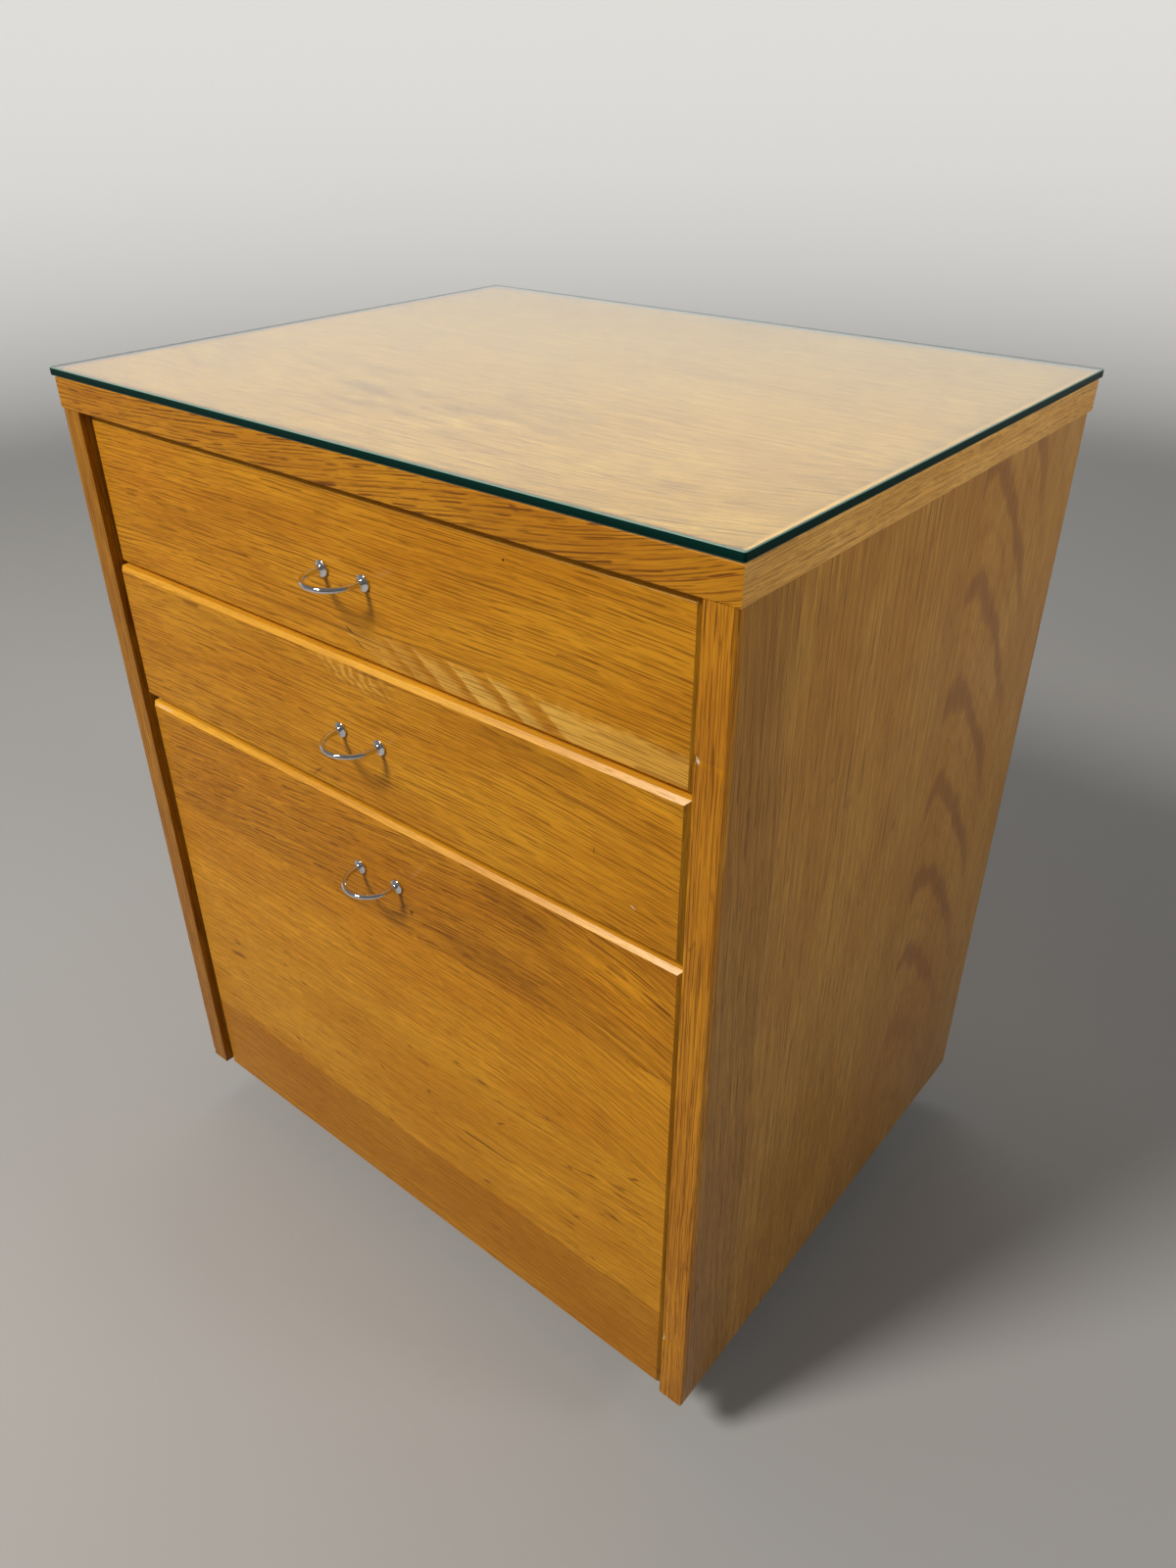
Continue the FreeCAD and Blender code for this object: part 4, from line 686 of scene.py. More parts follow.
# inner faces: the outer oak darkened, as painted shade in the recess
mat["side_inside"] = oak("oak_side_inside_painted_shade", "ZYX", tint(SIDE, 0.85), pith=(180.0, 60.0), ring=6.0,
                         seed=41.0, wave=4.0, dashes=0.3)
mat["top"] = oak(
    "oak_top", "XYZ", TOP_TONE_WITH_PAINTED_HAZE, pith=(-132.0, 74.0), taper=0.04, ring=6.6, seed=43.0,
    arch=dict(at=-150.0, first=1.5, grow=45.0, pace=74.0, offset=0.3), wave=2.4, cloudy=0.35,
    band=0.20, broad=0.35, dash=(34.0, 1.3), dashes=1.0, pores=0.5, mottle=0.6, level=0.4,
    leaves=[
        dict(tint=(1.0, 0.98, 0.95), shift=0.0, broad=0.8, bends=[(140.0, 1, -0.0012)]),
        dict(start=-66.0, soft=1.0, tint=(1.03, 1.01, 0.96), shift=500.0, dashes=0.9, lines=0.5),
        dict(start=58.5, tint=(1.05, 1.04, 1.0), shift=260.0, dashes=0.95, lines=0.6),
        dict(start=166.0, tint=(0.98, 0.97, 0.95), shift=640.0, dashes=0.95),
    ],
    patches=[
        dict(at=(-2.5, -130.0), size=(8.5, 5.0), turn=-12.0, colour=(0.34, 0.15, 0.018), amount=0.9),
        dict(at=(-5.0, -129.5), size=(3.0, 1.8), turn=-12.0, colour=(0.12, 0.045, 0.006),
             amount=0.9),
        dict(at=(-75.0, -117.0), size=(45.0, 11.0), under=True, turn=-6.0,
             colour=(0.52, 0.48, 0.44), mode="MULTIPLY", amount=0.85, hard=0.2),
        dict(at=(30.0, -116.0), size=(60.0, 11.0), under=True, turn=3.0,
             colour=(0.58, 0.53, 0.48), mode="MULTIPLY", amount=0.8, hard=0.2),
        dict(at=(-25.0, -146.0), size=(52.0, 8.0), under=True, turn=2.0,
             colour=(0.62, 0.57, 0.52), mode="MULTIPLY", amount=0.8, hard=0.2),
        dict(at=(-126.0, -112.0), size=(3.5, 1.2), turn=-20.0, colour=(0.30, 0.15, 0.05),
             amount=0.6),
        dict(at=(130.0, 55.0), size=(110.0, 5.0), under=True, colour=(0.66, 0.61, 0.56),
             mode="MULTIPLY", amount=0.7, hard=0.2),
        dict(at=(120.0, 134.0), size=(34.0, 4.0), under=True, turn=-8.0, colour=(0.68, 0.62, 0.56),
             mode="MULTIPLY", amount=0.7, hard=0.2)])
mat["back"] = oak("oak_back_panel", "ZXY", tint(SIDE, 1.05), pith=(-50.0, 70.0), taper=0.05, ring=6.8,
                  arch=dict(at=-56.0, first=1.7, grow=55.0, pace=92.0, offset=0.1), seed=47.0, wave=3.0, band=0.15, broad=0.7, dashes=0.35, gloss=0.5,
                  leaves=[dict(shift=600.0, band=0.3),
                          dict(start=-150.0, shift=0.0, broad=1.0, tint=(1.03, 1.02, 1.0)),
                          dict(start=40.0, shift=700.0, band=0.3, tint=(0.95, 0.93, 0.92)),
                          dict(start=160.0, shift=520.0, band=0.3, tint=(1.0, 1.02, 1.04))])
mat["raw_oak"] = plain_wood("raw_oak", "ZXY", (0.62, 0.42, 0.22), (0.50, 0.31, 0.14), gloss=0.75)
mat["chipboard"] = chipboard("chipboard_edge")
mat["inner_board"] = plain_wood("inner_board", "XYZ", (0.50, 0.34, 0.18), (0.42, 0.27, 0.13),
                                seed=3.0)
mat["rail_board"] = plain_wood("rail_board", "XYZ", (0.56, 0.40, 0.22), (0.45, 0.30, 0.15),
                               seed=9.0)
mat["beech"] = plain_wood("beech_dowel", "XYZ", (0.66, 0.47, 0.29), (0.56, 0.38, 0.22), seed=5.0)

# ------------------------------------------------------- metals and plastics
mat["chrome"] = metal("chrome", (0.80, 0.80, 0.81), 0.07, grain=(0.3, 0.5), worn=0.05, bump=0.03)
mat["zinc"] = metal("zinc_plate", (0.62, 0.60, 0.53), 0.34, worn=0.12, dirt=0.3)
mat["bare_steel"] = metal("bare_steel", (0.52, 0.52, 0.52), 0.32, axis="X", worn=0.12, dirt=0.2)
mat["castor_steel"] = metal("castor_plate_steel", (0.58, 0.585, 0.57), 0.36, worn=0.14, dirt=0.55)
mat["runner"] = coated("runner_coating", (0.70, 0.69, 0.64))
mat["nylon"] = plastic("roller_nylon", (0.74, 0.72, 0.66), 0.36, dust=(0.35, 0.32, 0.28),
                       dusty=0.35)
mat["wheel"] = plastic("castor_plastic", (0.022, 0.022, 0.024), 0.38, dust=(0.16, 0.15, 0.14),
                       dusty=0.5, scale=0.12)
mat["tread"] = plastic("castor_tread", (0.045, 0.044, 0.043), 0.62, dust=(0.17, 0.158, 0.145),
                       dusty=0.5, scale=0.9)


def glass_material(name, colour, rough, tintness=0.0):
    """Clear sheet glass; lamps shine through it without being bent."""
    net = Net(name)
    x, y, z = net.coords()
    smear = net.noise(net.mul(x, 0.010), net.mul(y, 0.016), net.mul(z, 0.01), 4.0, 0.6, 0.8)
    fine = net.noise(net.mul(x, 0.2), net.mul(y, 0.2), net.mul(z, 0.2), 3.0, 0.6)
    r = net.math("MAXIMUM", net.mad(net.step(smear, 0.48, 0.72), 0.05, rough), 0.0)
    r = net.mad(net.mul(net.step(fine, 0.6, 0.75), net.step(smear, 0.5, 0.6)), 0.03, r)
    net.set(Base_Color=colour, Roughness=r, IOR=1.5)
    net.b.inputs["Transmission Weight"].default_value = 1.0
    lp = net.n("ShaderNodeLightPath")
    clear = net.n("ShaderNodeBsdfTransparent")
    clear.inputs[0].default_value = rgba(colour)
    mixer = net.n("ShaderNodeMixShader")
    net.t.links.new(lp.outputs["Is Shadow Ray"], mixer.inputs[0])
    net.t.links.new(net.b.outputs[0], mixer.inputs[1])
    net.t.links.new(clear.outputs[0], mixer.inputs[2])
    net.t.links.new(mixer.outputs[0], net.out.inputs[0])
    return net.m


mat["glass"] = glass_material("sheet_glass", (0.93, 0.975, 0.955), 0.0)


def glass_edge(name, deep, pale, rough, level=0.5):
    net = Net(name)
    x, y, z = net.coords()
    drag = net.noise(net.mul(net.add(x, y), 0.35), 0.0, net.mul(z, 2.5), 3.0, 0.65)
    chip = net.noise(net.mul(x, 0.6), net.mul(y, 0.6), net.mul(z, 0.9), 2.0)
    up = net.step(z, 721.2, 726.8)
    col = net.mix(up, deep, pale)
    col = net.mix(net.mul(net.step(drag, 0.5, 0.75), 0.35), col, tuple(1.7 * c for c in pale))
    net.set(Base_Color=col, Roughness=net.mad(drag, 0.25, rough), Specular_IOR_Level=level)
    net.bump(net.add(drag, chip), 0.12, 0.00005)
    return net.m


mat["glass_edge"] = glass_edge("glass_edge", (0.000, 0.012, 0.009), (0.0005, 0.026, 0.020), 0.20, 0.06)
mat["glass_arris"] = glass_edge("glass_arris", (0.03, 0.10, 0.08), (0.20, 0.33, 0.27), 0.35)


# =====================================================================
# meshes
# =====================================================================
def finish_mesh(name, bm, mats, body, stands_for=(), angle=32.0, even=True):
    for e in bm.edges:
        e.smooth = len(e.link_faces) == 2 and e.calc_face_angle(0.0) < math.radians(angle)
    for f in bm.faces:
        f.smooth = True
    bmesh.ops.recalc_face_normals(bm, faces=bm.faces)
    me = bpy.data.meshes.new(name)
    bm.to_mesh(me)
    bm.free()
    for m in mats:
        me.materials.append(m)
    ob = bpy.data.objects.new(name, me)
    scene.collection.objects.link(ob)
    if even:
        mod = ob.modifiers.new("even_normals", "WEIGHTED_NORMAL")
        mod.keep_sharp = True
        mod.weight = 80
    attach(ob, body)
    for n in stands_for:
        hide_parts(n)
    return ob


def cad_mesh(node):
    bm = bmesh.new()
    bm.from_mesh(nodes[node].data)
    bmesh.ops.remove_doubles(bm, verts=bm.verts, dist=2e-6)
    bmesh.ops.dissolve_limit(bm, angle_limit=math.radians(0.3), verts=bm.verts, edges=bm.edges)
    return bm


def sharp_edges(bm, least=30.0):
    return [e for e in bm.edges
            if len(e.link_faces) == 2 and e.calc_face_angle(0.0) > math.radians(least)]


def ease(bm, edges, width, seg=2, profile=0.5):
    if edges:
        bmesh.ops.bevel(bm, geom=edges, offset=width * MM, offset_type="OFFSET", segments=seg,
                        profile=profile, affect="EDGES", clamp_overlap=True)


def mid(e):
    return (e.verts[0].co + e.verts[1].co) * 500.0      # middle in millimetres


def near(a, b, tol=0.05):
    return abs(a - b) < tol


def from_cad(node, name, mats, width=0.3, seg=2, keep=None, choose=None, least=30.0,
             angle=32.0):
    """The CAD node's shape with eased edges; keep says which sharp edges stay sharp."""
    bm = cad_mesh(node)
    edges = [e for e in sharp_edges(bm, least) if not (keep and keep(mid(e), e))]
    ease(bm, edges, width, seg)
    bm.faces.ensure_lookup_table()
    bmesh.ops.recalc_face_normals(bm, faces=bm.faces)
    if choose:
        for f in bm.faces:
            f.material_index = choose(f)
    return finish_mesh(name, bm, mats, nodes[node]["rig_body"], (node,), angle)


def nick(bm, axis, at, half, corner, depth, seed, index=None, cuts=7):
    """Knock a small irregular bite out of an edge that runs along the given axis.

    corner is the edge's place (mm) on the other two axes, in X, Y, Z order."""
    rnd = random.Random(seed)
    others = [a for a in (0, 1, 2) if a != axis]
    for k in range(-cuts, cuts + 1):
        p, n = Vector((0, 0, 0)), Vector((0, 0, 0))
        p[axis] = (at + half * (k + 0.6 * (rnd.random() - 0.5)) / cuts) * MM
        n[axis] = 1.0
        close = [f for f in bm.faces
                 if min(v.co[axis] for v in f.verts) < p[axis] < max(v.co[axis] for v in f.verts)]
        geom = set(close)
        for f in close:
            geom.update(f.edges)
            geom.update(f.verts)
        bmesh.ops.bisect_plane(bm, geom=list(geom), dist=1e-7, plane_co=p, plane_no=n)
    centre = sum((v.co for v in bm.verts), Vector()) / len(bm.verts)
    moved = set()
    for v in bm.verts:
        d = (v.co[axis] * 1000 - at) / half
        if abs(d) >= 1.0:
            continue
        off = [v.co[a] * 1000 - c for a, c in zip(others, corner)]
        far = math.hypot(*off)
        if far < depth * 1.6 + 0.9:
            push = depth * (1 - d * d) * (0.75 + 0.5 * rnd.random()) * max(0.0, 1 - far / (depth * 1.6 + 0.9))
            for a in others:
                v.co[a] += math.copysign(push * MM * 0.8, centre[a] - v.co[a])
            moved.add(v)
    if index is not None:
        for f in bm.faces:
            if all(v in moved for v in f.verts):
                f.material_index = index


# ------------------------------------------------------------- side panels
def side_faces(f):
    return 1 if f.normal.z < -0.7 else 0


for side, mats_side in (("left", mat["side_left"]), ("right", mat["side_right"])):
    out_x = -287.0 if side == "left" else 293.0
    in_x = -267.5 if side == "left" else 273.5

    def pick_face(f, in_x=in_x):
        if f.normal.z < -0.7:
            return 1
        c = f.calc_center_median() * 1000
        return 2 if abs(c.x - in_x) < 0.6 or (abs(f.normal.x) > 0.7 and abs(c.x - in_x) < 12) else 0

    from_cad(side + "_side_panel", side + "_panel_board",
             [mats_side, mat["chipboard"], mat["side_inside"]], 0.35, 2,
             keep=lambda m, e: near(m.y, -215.5), choose=pick_face)

    bm = cad_mesh(side + "_panel_lipping")
    outer_x = out_x
    round_edges, fine_edges = [], []
    for e in sharp_edges(bm):
        m = mid(e)
        if near(m.y, -215.5):
            continue
        if near(m.y, -221.5) and near(m.x, outer_x):
            round_edges.append(e)
        else:
            fine_edges.append(e)
    ease(bm, round_edges, 0.9, 3)
    ease(bm, [e for e in sharp_edges(bm) if not near(mid(e).y, -215.5)
              and e.calc_face_angle(0) > math.radians(60)], 0.45, 2)
    if side == "right":
        nick(bm, 2, 612.3, 3.2, (273.5, -221.5), 1.1, 3, 1)
        nick(bm, 2, 125.3, 4.0, (273.5, -221.5), 1.0, 7, 1)
        nick(bm, 2, 57.5, 2.2, (293.0, -221.5), 0.9, 9, 1)
    else:
        nick(bm, 2, 60.0, 3.0, (-287.0, -221.5), 0.9, 5, 1)
    finish_mesh(side + "_panel_edge_strip", bm,
                [mat["lip_panel_l" if side == "left" else "lip_panel_r"], mat["raw_oak"]],
                "carcass", (side + "_panel_lipping",))

# --------------------------------------------------------------- top board
from_cad("top_board", "top_board_core", [mat["top"], mat["chipboard"]], 0.12, 1,
         choose=lambda f: 1 if f.normal.z < -0.7 or f.normal.y > 0.7 else 0)


def top_strip(node, name, material, nicks=()):
    bm = cad_mesh(node)
    wide = []
    for e in sharp_edges(bm):
        m = mid(e)
        outer = (near(m.y, -221.5) and node == "top_front_lipping") or \
                (near(m.x, -289.0) and node == "top_left_lipping") or \
                (near(m.x, 295.0) and node == "top_right_lipping")
        level = abs((e.verts[0].co - e.verts[1].co).z) < 1e-6
        if outer and level:
            wide.append(e)
    ease(bm, wide, 0.8, 3)
    for n in nicks:
        nick(bm, *n)
    finish_mesh(name, bm, [material, mat["raw_oak"]], "carcass", (node,))


top_strip("top_front_lipping", "top_front_edge_strip", mat["lip_front"])
top_strip("top_left_lipping", "top_left_edge_strip", mat["lip_left"])
top_strip("top_right_lipping", "top_right_edge_strip", mat["lip_right"])


# ------------------------------------------------------------- glass sheet
def glass_sheet():
    """Float glass with ground arrises and slightly rounded corners."""
    x0, x1, y0, y1, z0, z1 = -295.0, 295.0, -221.5, 247.5, 721.06, 727.0
    r, a, steps = 1.6, 0.7, 5
    bm = bmesh.new()

    def outline(inset, z):
        pts = []
        rr = max(r - inset, 0.5)
        for cx, cy, start in ((x1 - r, y0 + r, -90), (x1 - r, y1 - r, 0),
                              (x0 + r, y1 - r, 90), (x0 + r, y0 + r, 180)):
            for k in range(steps + 1):
                t = math.radians(start + 90.0 * k / steps)
                pts.append(bm.verts.new(Vector(((cx + rr * math.cos(t)), (cy + rr * math.sin(t)), z)) * MM))
        return pts

    rows = [outline(a, z0), outline(a * 0.3, z0 + a * 0.35), outline(0.0, z0 + a),
            outline(0.0, z1 - a), outline(a * 0.3, z1 - a * 0.35), outline(a, z1)]
    n = len(rows[0])
    for i in range(len(rows) - 1):
        for k in range(n):
            f = bm.faces.new((rows[i][k], rows[i][(k + 1) % n], rows[i + 1][(k + 1) % n], rows[i + 1][k]))
            f.material_index = 1 if i == 2 else 2
    bm.faces.new(list(reversed(rows[0]))).material_index = 0
    bm.faces.new(rows[-1]).material_index = 0
    return finish_mesh("glass_sheet", bm, [mat["glass"], mat["glass_edge"], mat["glass_arris"]],
                       "carcass", ("glass_top",), angle=25.0)


glass_sheet()

# ---------------------------------------------------- inside of the carcass
from_cad("back_panel", "back_board", [mat["back"], mat["chipboard"]], 0.3, 1,
         choose=lambda f: 1 if abs(f.normal.z) > 0.7 else 0)
from_cad("bottom_board", "base_board", [mat["inner_board"], mat["chipboard"]], 0.3, 1,
         choose=lambda f: 1 if f.normal.y < -0.7 else 0)
from_cad("top_front_rail", "front_rail", [mat["rail_board"]], 0.6, 2)
from_cad("top_rear_rail", "rear_rail", [mat["rail_board"]], 0.6, 2)
from_cad("carcass_dowels", "dowels", [mat["beech"]], 0.8, 2)

# ----------------------------------------------------------------- runners
for which in DRAWERS:
    from_cad(which + "_cabinet_runners", which + "_fixed_runners",
             [mat["runner"], mat["zinc"]], 0.35, 2,
             choose=lambda f: 0)
    from_cad(which + "_drawer_runners", which + "_sliding_runners",
             [mat["runner"], mat["zinc"]], 0.35, 2,
             choose=lambda f: 0)


# ----------------------------------------------------------------- turned parts
def turn(bm, profile, centre, axis, seg=48, index=0, close=False, phase=0.0):
    """Turn a profile of (along, radius) points in mm about an axis through centre."""
    axis = Vector(axis).normalized()
    side = axis.cross(Vector((0, 0, 1)))
    if side.length < 0.1:
        side = Vector((1, 0, 0))
    side.normalize()
    up = axis.cross(side)
    c = Vector(centre)
    rows = []
    for along, r in profile:
        if r < 1e-6:
            rows.append([bm.verts.new((c + axis * along) * MM)])
        else:
            rows.append([bm.verts.new((c + axis * along + (side * math.cos(t) + up * math.sin(t)) * r) * MM)
                         for t in (phase + 2 * math.pi * k / seg for k in range(seg))])
    pairs = list(zip(rows[:-1], rows[1:]))
    if close:
        pairs.append((rows[-1], rows[0]))
    for a, b in pairs:
        for k in range(seg):
            k2 = (k + 1) % seg
            if len(a) == 1 and len(b) == 1:
                continue
            if len(a) == 1:
                f = bm.faces.new((a[0], b[k], b[k2]))
            elif len(b) == 1:
                f = bm.faces.new((a[k], b[0], a[k2]))
            else:
                f = bm.faces.new((a[k], b[k], b[k2], a[k2]))
            f.material_index = index
    return rows


def roller_pair(node, name, x_in, y, z, body):
    """Moulded rollers: rounded tread, dished sides, a raised hub and a bore."""
    bm = bmesh.new()
    w, R, b = 6.4, 9.2, 2.55
    prof = [(0.0, b + 0.25), (0.0, 4.4), (0.25, 4.7), (0.9, 4.9), (0.9, 7.3), (0.3, 7.6), (0.0, 8.1),
            (0.15, 8.8), (0.6, R), (w - 0.6, R), (w - 0.15, 8.8), (w, 8.1), (w - 0.3, 7.6),
            (w - 0.9, 7.3), (w - 0.9, 4.9), (w - 0.25, 4.7), (w, 4.4), (w, b + 0.25), (w - 0.25, b),
            (0.25, b)]
    left = x_in
    right = 2 * CX - x_in - w
    for x0 in (left, right):
        turn(bm, prof, (x0, y, z), (1, 0, 0), 40, close=True)
    return finish_mesh(name, bm, [mat["nylon"]], body, (node,), angle=40)


LEFT_IN = -267.5
for which, dd in DRAWERS.items():
    roller_pair(which + "_front_rollers", which + "_front_roller_wheels", LEFT_IN + 2.0, -183.0,
                dd["base"] + 3.5, which + "_front_roller_pair")
    roller_pair(which + "_rear_rollers", which + "_rear_roller_wheels", -254.5 - 1.2 - 0.7 - 6.4,
                193.0, dd["base"] + 0.7, which + "_rear_roller_pair")


# ------------------------------------------------------------------ screws
def cross_cutter():
    bm = bmesh.new()
    for a in (0.0, math.pi / 2):
        ring = []
        for z, l, w in ((0.4, 0.52, 0.15), (-0.62, 0.30, 0.08)):
            for sx, sy in ((-1, -1), (1, -1), (1, 1), (-1, 1)):
                p = Vector((sx * l, sy * w, z))
                ring.append(bm.verts.new(Matrix.Rotation(a, 3, "Z") @ p))
        lo, hi = ring[4:], ring[:4]
        bm.faces.new(hi)
        bm.faces.new(list(reversed(lo)))
        for k in range(4):
            bm.faces.new((hi[k], lo[k], lo[(k + 1) % 4], hi[(k + 1) % 4]))
    bmesh.ops.recalc_face_normals(bm, faces=bm.faces)
    me = bpy.data.meshes.new("cutter")
    bm.to_mesh(me)
    bm.free()
    return bpy.data.objects.new("cutter", me)


def screw_pattern(domed):
    """Head of radius 1 with its outer face towards +Z at z = 0 and a cross recess."""
    bm = bmesh.new()
    if domed:
        prof = [(-0.55, 0.0), (-0.55, 1.0), (-0.34, 1.0), (-0.20, 0.95), (-0.09, 0.80), (-0.02, 0.55),
                (0.0, 0.0)]
    else:
        prof = [(-0.95, 0.0), (-0.95, 0.47), (-0.62, 0.50), (-0.10, 0.97), (-0.03, 1.0), (0.0, 0.96),
                (0.0, 0.0)]
    turn(bm, [(a / MM, r / MM) for a, r in prof], (0, 0, 0), (0, 0, 1), 32)
    bmesh.ops.recalc_face_normals(bm, faces=bm.faces)
    me = bpy.data.meshes.new("head")
    bm.to_mesh(me)
    bm.free()
    head = bpy.data.objects.new("head", me)
    cut = cross_cutter()
    for o in (head, cut):
        scene.collection.objects.link(o)
    mod = head.modifiers.new("cut", "BOOLEAN")
    mod.operation = "DIFFERENCE"
    mod.solver = "EXACT"
    mod.use_self = True                 # the two slots of the recess cross each other
    mod.object = cut
    dg = bpy.context.evaluated_depsgraph_get()
    done = bpy.data.meshes.new_from_object(head.evaluated_get(dg))
    if len(done.vertices) < 100:
        raise RuntimeError("a screw head came out empty")
    for o in (head, cut):
        bpy.data.objects.remove(o)
    return done


FLAT_HEAD, DOME_HEAD = screw_pattern(False), screw_pattern(True)


def screws(node, name, places, material, body, domed=False, radius=3.6, shank=1.75):
    """places: (head outer face centre, direction the shank goes, length, turn)."""
    bm = bmesh.new()
    pattern = DOME_HEAD if domed else FLAT_HEAD
    for at, way, length, spin in places:
        way = Vector(way).normalized()
        q = Vector((0, 0, 1)).rotation_difference(-way)
        m = Matrix.Translation(Vector(at) * MM) @ q.to_matrix().to_4x4() @ \
            Matrix.Rotation(spin, 4, "Z") @ Matrix.Scale(radius * MM, 4)
        part = bmesh.new()
        part.from_mesh(pattern)
        part.transform(m)
        tmp = bpy.data.meshes.new("tmp")
        part.to_mesh(tmp)
        part.free()
        bm.from_mesh(tmp)
        bpy.data.meshes.remove(tmp)
        start = radius * (0.55 if domed else 0.95)
        # threaded shank with a gimlet point
        prof = [(start - 0.05, 0.0), (start - 0.05, shank * 0.78)]
        a = start
        while a < length - 3.0:
            prof += [(a + 0.25, shank * 0.78), (a + 0.65, shank), (a + 1.05, shank * 0.78)]
            a += 1.4
        prof += [(length - 2.0, shank * 0.6), (length, 0.0)]
        turn(bm, prof, at, way, 14)
    return finish_mesh(name, bm, [material], body, (node,), angle=35, even=False)


rnd = random.Random(11)
RUNNER_Y = (-155.0, 5.0, 165.0)
places = []
for which, dd in DRAWERS.items():
    for y in RUNNER_Y:
        places.append(((LEFT_IN + 2.78, y, dd["base"] + 6), (-1, 0, 0), 14.6, rnd.random() * 3))
        places.append(((273.5 - 2.78, y, dd["base"] + 6), (1, 0, 0), 14.6, rnd.random() * 3))
screws("cabinet_runner_screws", "runner_screws", places, mat["zinc"], "carcass",
       domed=True)

places = []
for y in (-164.0, 192.5):
    for x in (LEFT_IN + 90.0, CX, 273.5 - 90.0):
        places.append(((x, y, 681.02), (0, 0, 1), 29.3, rnd.random() * 3))
screws("top_screws", "top_fixing_screws", places, mat["zinc"], "carcass")

places = []
for x, y, t in CORNERS.values():
    for sx, sy in ((-1, -1), (1, -1), (1, 1), (-1, 1)):
        places.append(((x + 22 * sx, y + 22 * sy, 57.62), (0, 0, 1), 16.5, rnd.random() * 3))
screws("castor_plate_screws", "castor_screws", places, mat["zinc"], "carcass",
       domed=True)

for which, dd in DRAWERS.items():
    back = dd["face"] + 19.5
    places = [((dd["pull"][0] + s * 19.35, back + 2.15, dd["pull"][1]), (0, -1, 0), 24.6,
               rnd.random() * 3)
              for s in (-1, 1)]
    screws(which + "_handle_screws", which + "_pull_screws", places, mat["zinc"],
           which + "_drawer", domed=True, radius=3.9, shank=1.9)


# ----------------------------------------------------------------- handles
def wire_pull(which, dd):
    """Chromed wire pull: flared foot, straight leg, half circle, leg, foot."""
    half, leg = 19.35, 7.54
    foot = [(0.0, 5.35), (0.2, 5.58), (0.5, 5.7), (1.0, 5.7), (1.3, 5.62), (1.52, 5.42),
            (1.68, 5.1), (1.95, 4.5), (2.2, 3.95), (2.5, 3.4), (2.85, 2.95), (3.3, 2.55),
            (3.9, 2.25), (4.6, 2.02), (5.4, 1.91), (6.6, 1.9)]
    line = []                                   # (point, direction, radius)
    for s, r in foot:
        line.append((Vector((-half, -s, 0)), Vector((0, -1, 0)), r))
    for k in range(0, 49):
        t = math.pi + math.pi * k / 48
        line.append((Vector((half * math.cos(t), -leg + half * math.sin(t), 0)),
                     Vector((-math.sin(t), math.cos(t), 0)), 1.9))
    for s, r in reversed(foot):
        line.append((Vector((half, -s, 0)), Vector((0, 1, 0)), r))
    bm = bmesh.new()
    origin = Vector((dd["pull"][0], dd["face"], dd["pull"][1]))
    seg, rows = 28, []
    for p, d, r in line:
        side = d.cross(Vector((0, 0, 1))).normalized()
        rows.append([bm.verts.new((origin + p + (side * math.cos(a) + Vector((0, 0, 1)) * math.sin(a)) * r) * MM)
                     for a in (2 * math.pi * k / seg for k in range(seg))])
    for a, b in zip(rows[:-1], rows[1:]):
        for k in range(seg):
            bm.faces.new((a[k], a[(k + 1) % seg], b[(k + 1) % seg], b[k]))
    bm.faces.new(rows[0])
    bm.faces.new(list(reversed(rows[-1])))
    return finish_mesh(which + "_wire_pull", bm, [mat["chrome"]], which + "_drawer",
                       (which + "_handle",), angle=50, even=False)


for which, dd in DRAWERS.items():
    wire_pull(which, dd)

# ------------------------------------------------------------ drawer fronts
FX0, FX1 = -264.0, 270.0


def drawer_front(which, dd):
    """Slab with a mitred bevel all round its face and crisp, slightly worn edges."""
    node = which + "_drawer_front"
    bm = cad_mesh(node)
    y0 = dd["face"]
    fine = []
    for e in sharp_edges(bm, 20.0):
        m = mid(e)
        if m.y < y0 + 3.2:
            fine.append(e)
        elif m.y > y0 + 18.0 and (near(m.x, FX0) or near(m.x, FX1) or near(m.z, dd["low"])
                                  or near(m.z, dd["high"])):
            fine.append(e)
        elif near(abs(m.x - 3.0), 267.0) and (near(m.z, dd["low"]) or near(m.z, dd["high"])):
            fine.append(e)
    ease(bm, fine, 0.35, 2)
    bmesh.ops.recalc_face_normals(bm, faces=bm.faces)
    for f in bm.faces:
        c, n = f.calc_center_median() * 1000, f.normal
        if n.y < -0.97:
            f.material_index = 0
        elif n.y > 0.9:
            f.material_index = 3
        elif abs(n.z) > abs(n.x):
            f.material_index = 1
        else:
            f.material_index = 2
    if which == "file":
        nick(bm, 2, 68.0, 4.0, (FX1, y0 + 3.0), 0.6, 21)
    return finish_mesh(which + "_front_board", bm,
                       [mat["front_" + which], mat["edge_along"], mat["edge_up"], mat["front_back"]],
                       which + "_drawer", (node,), angle=25)


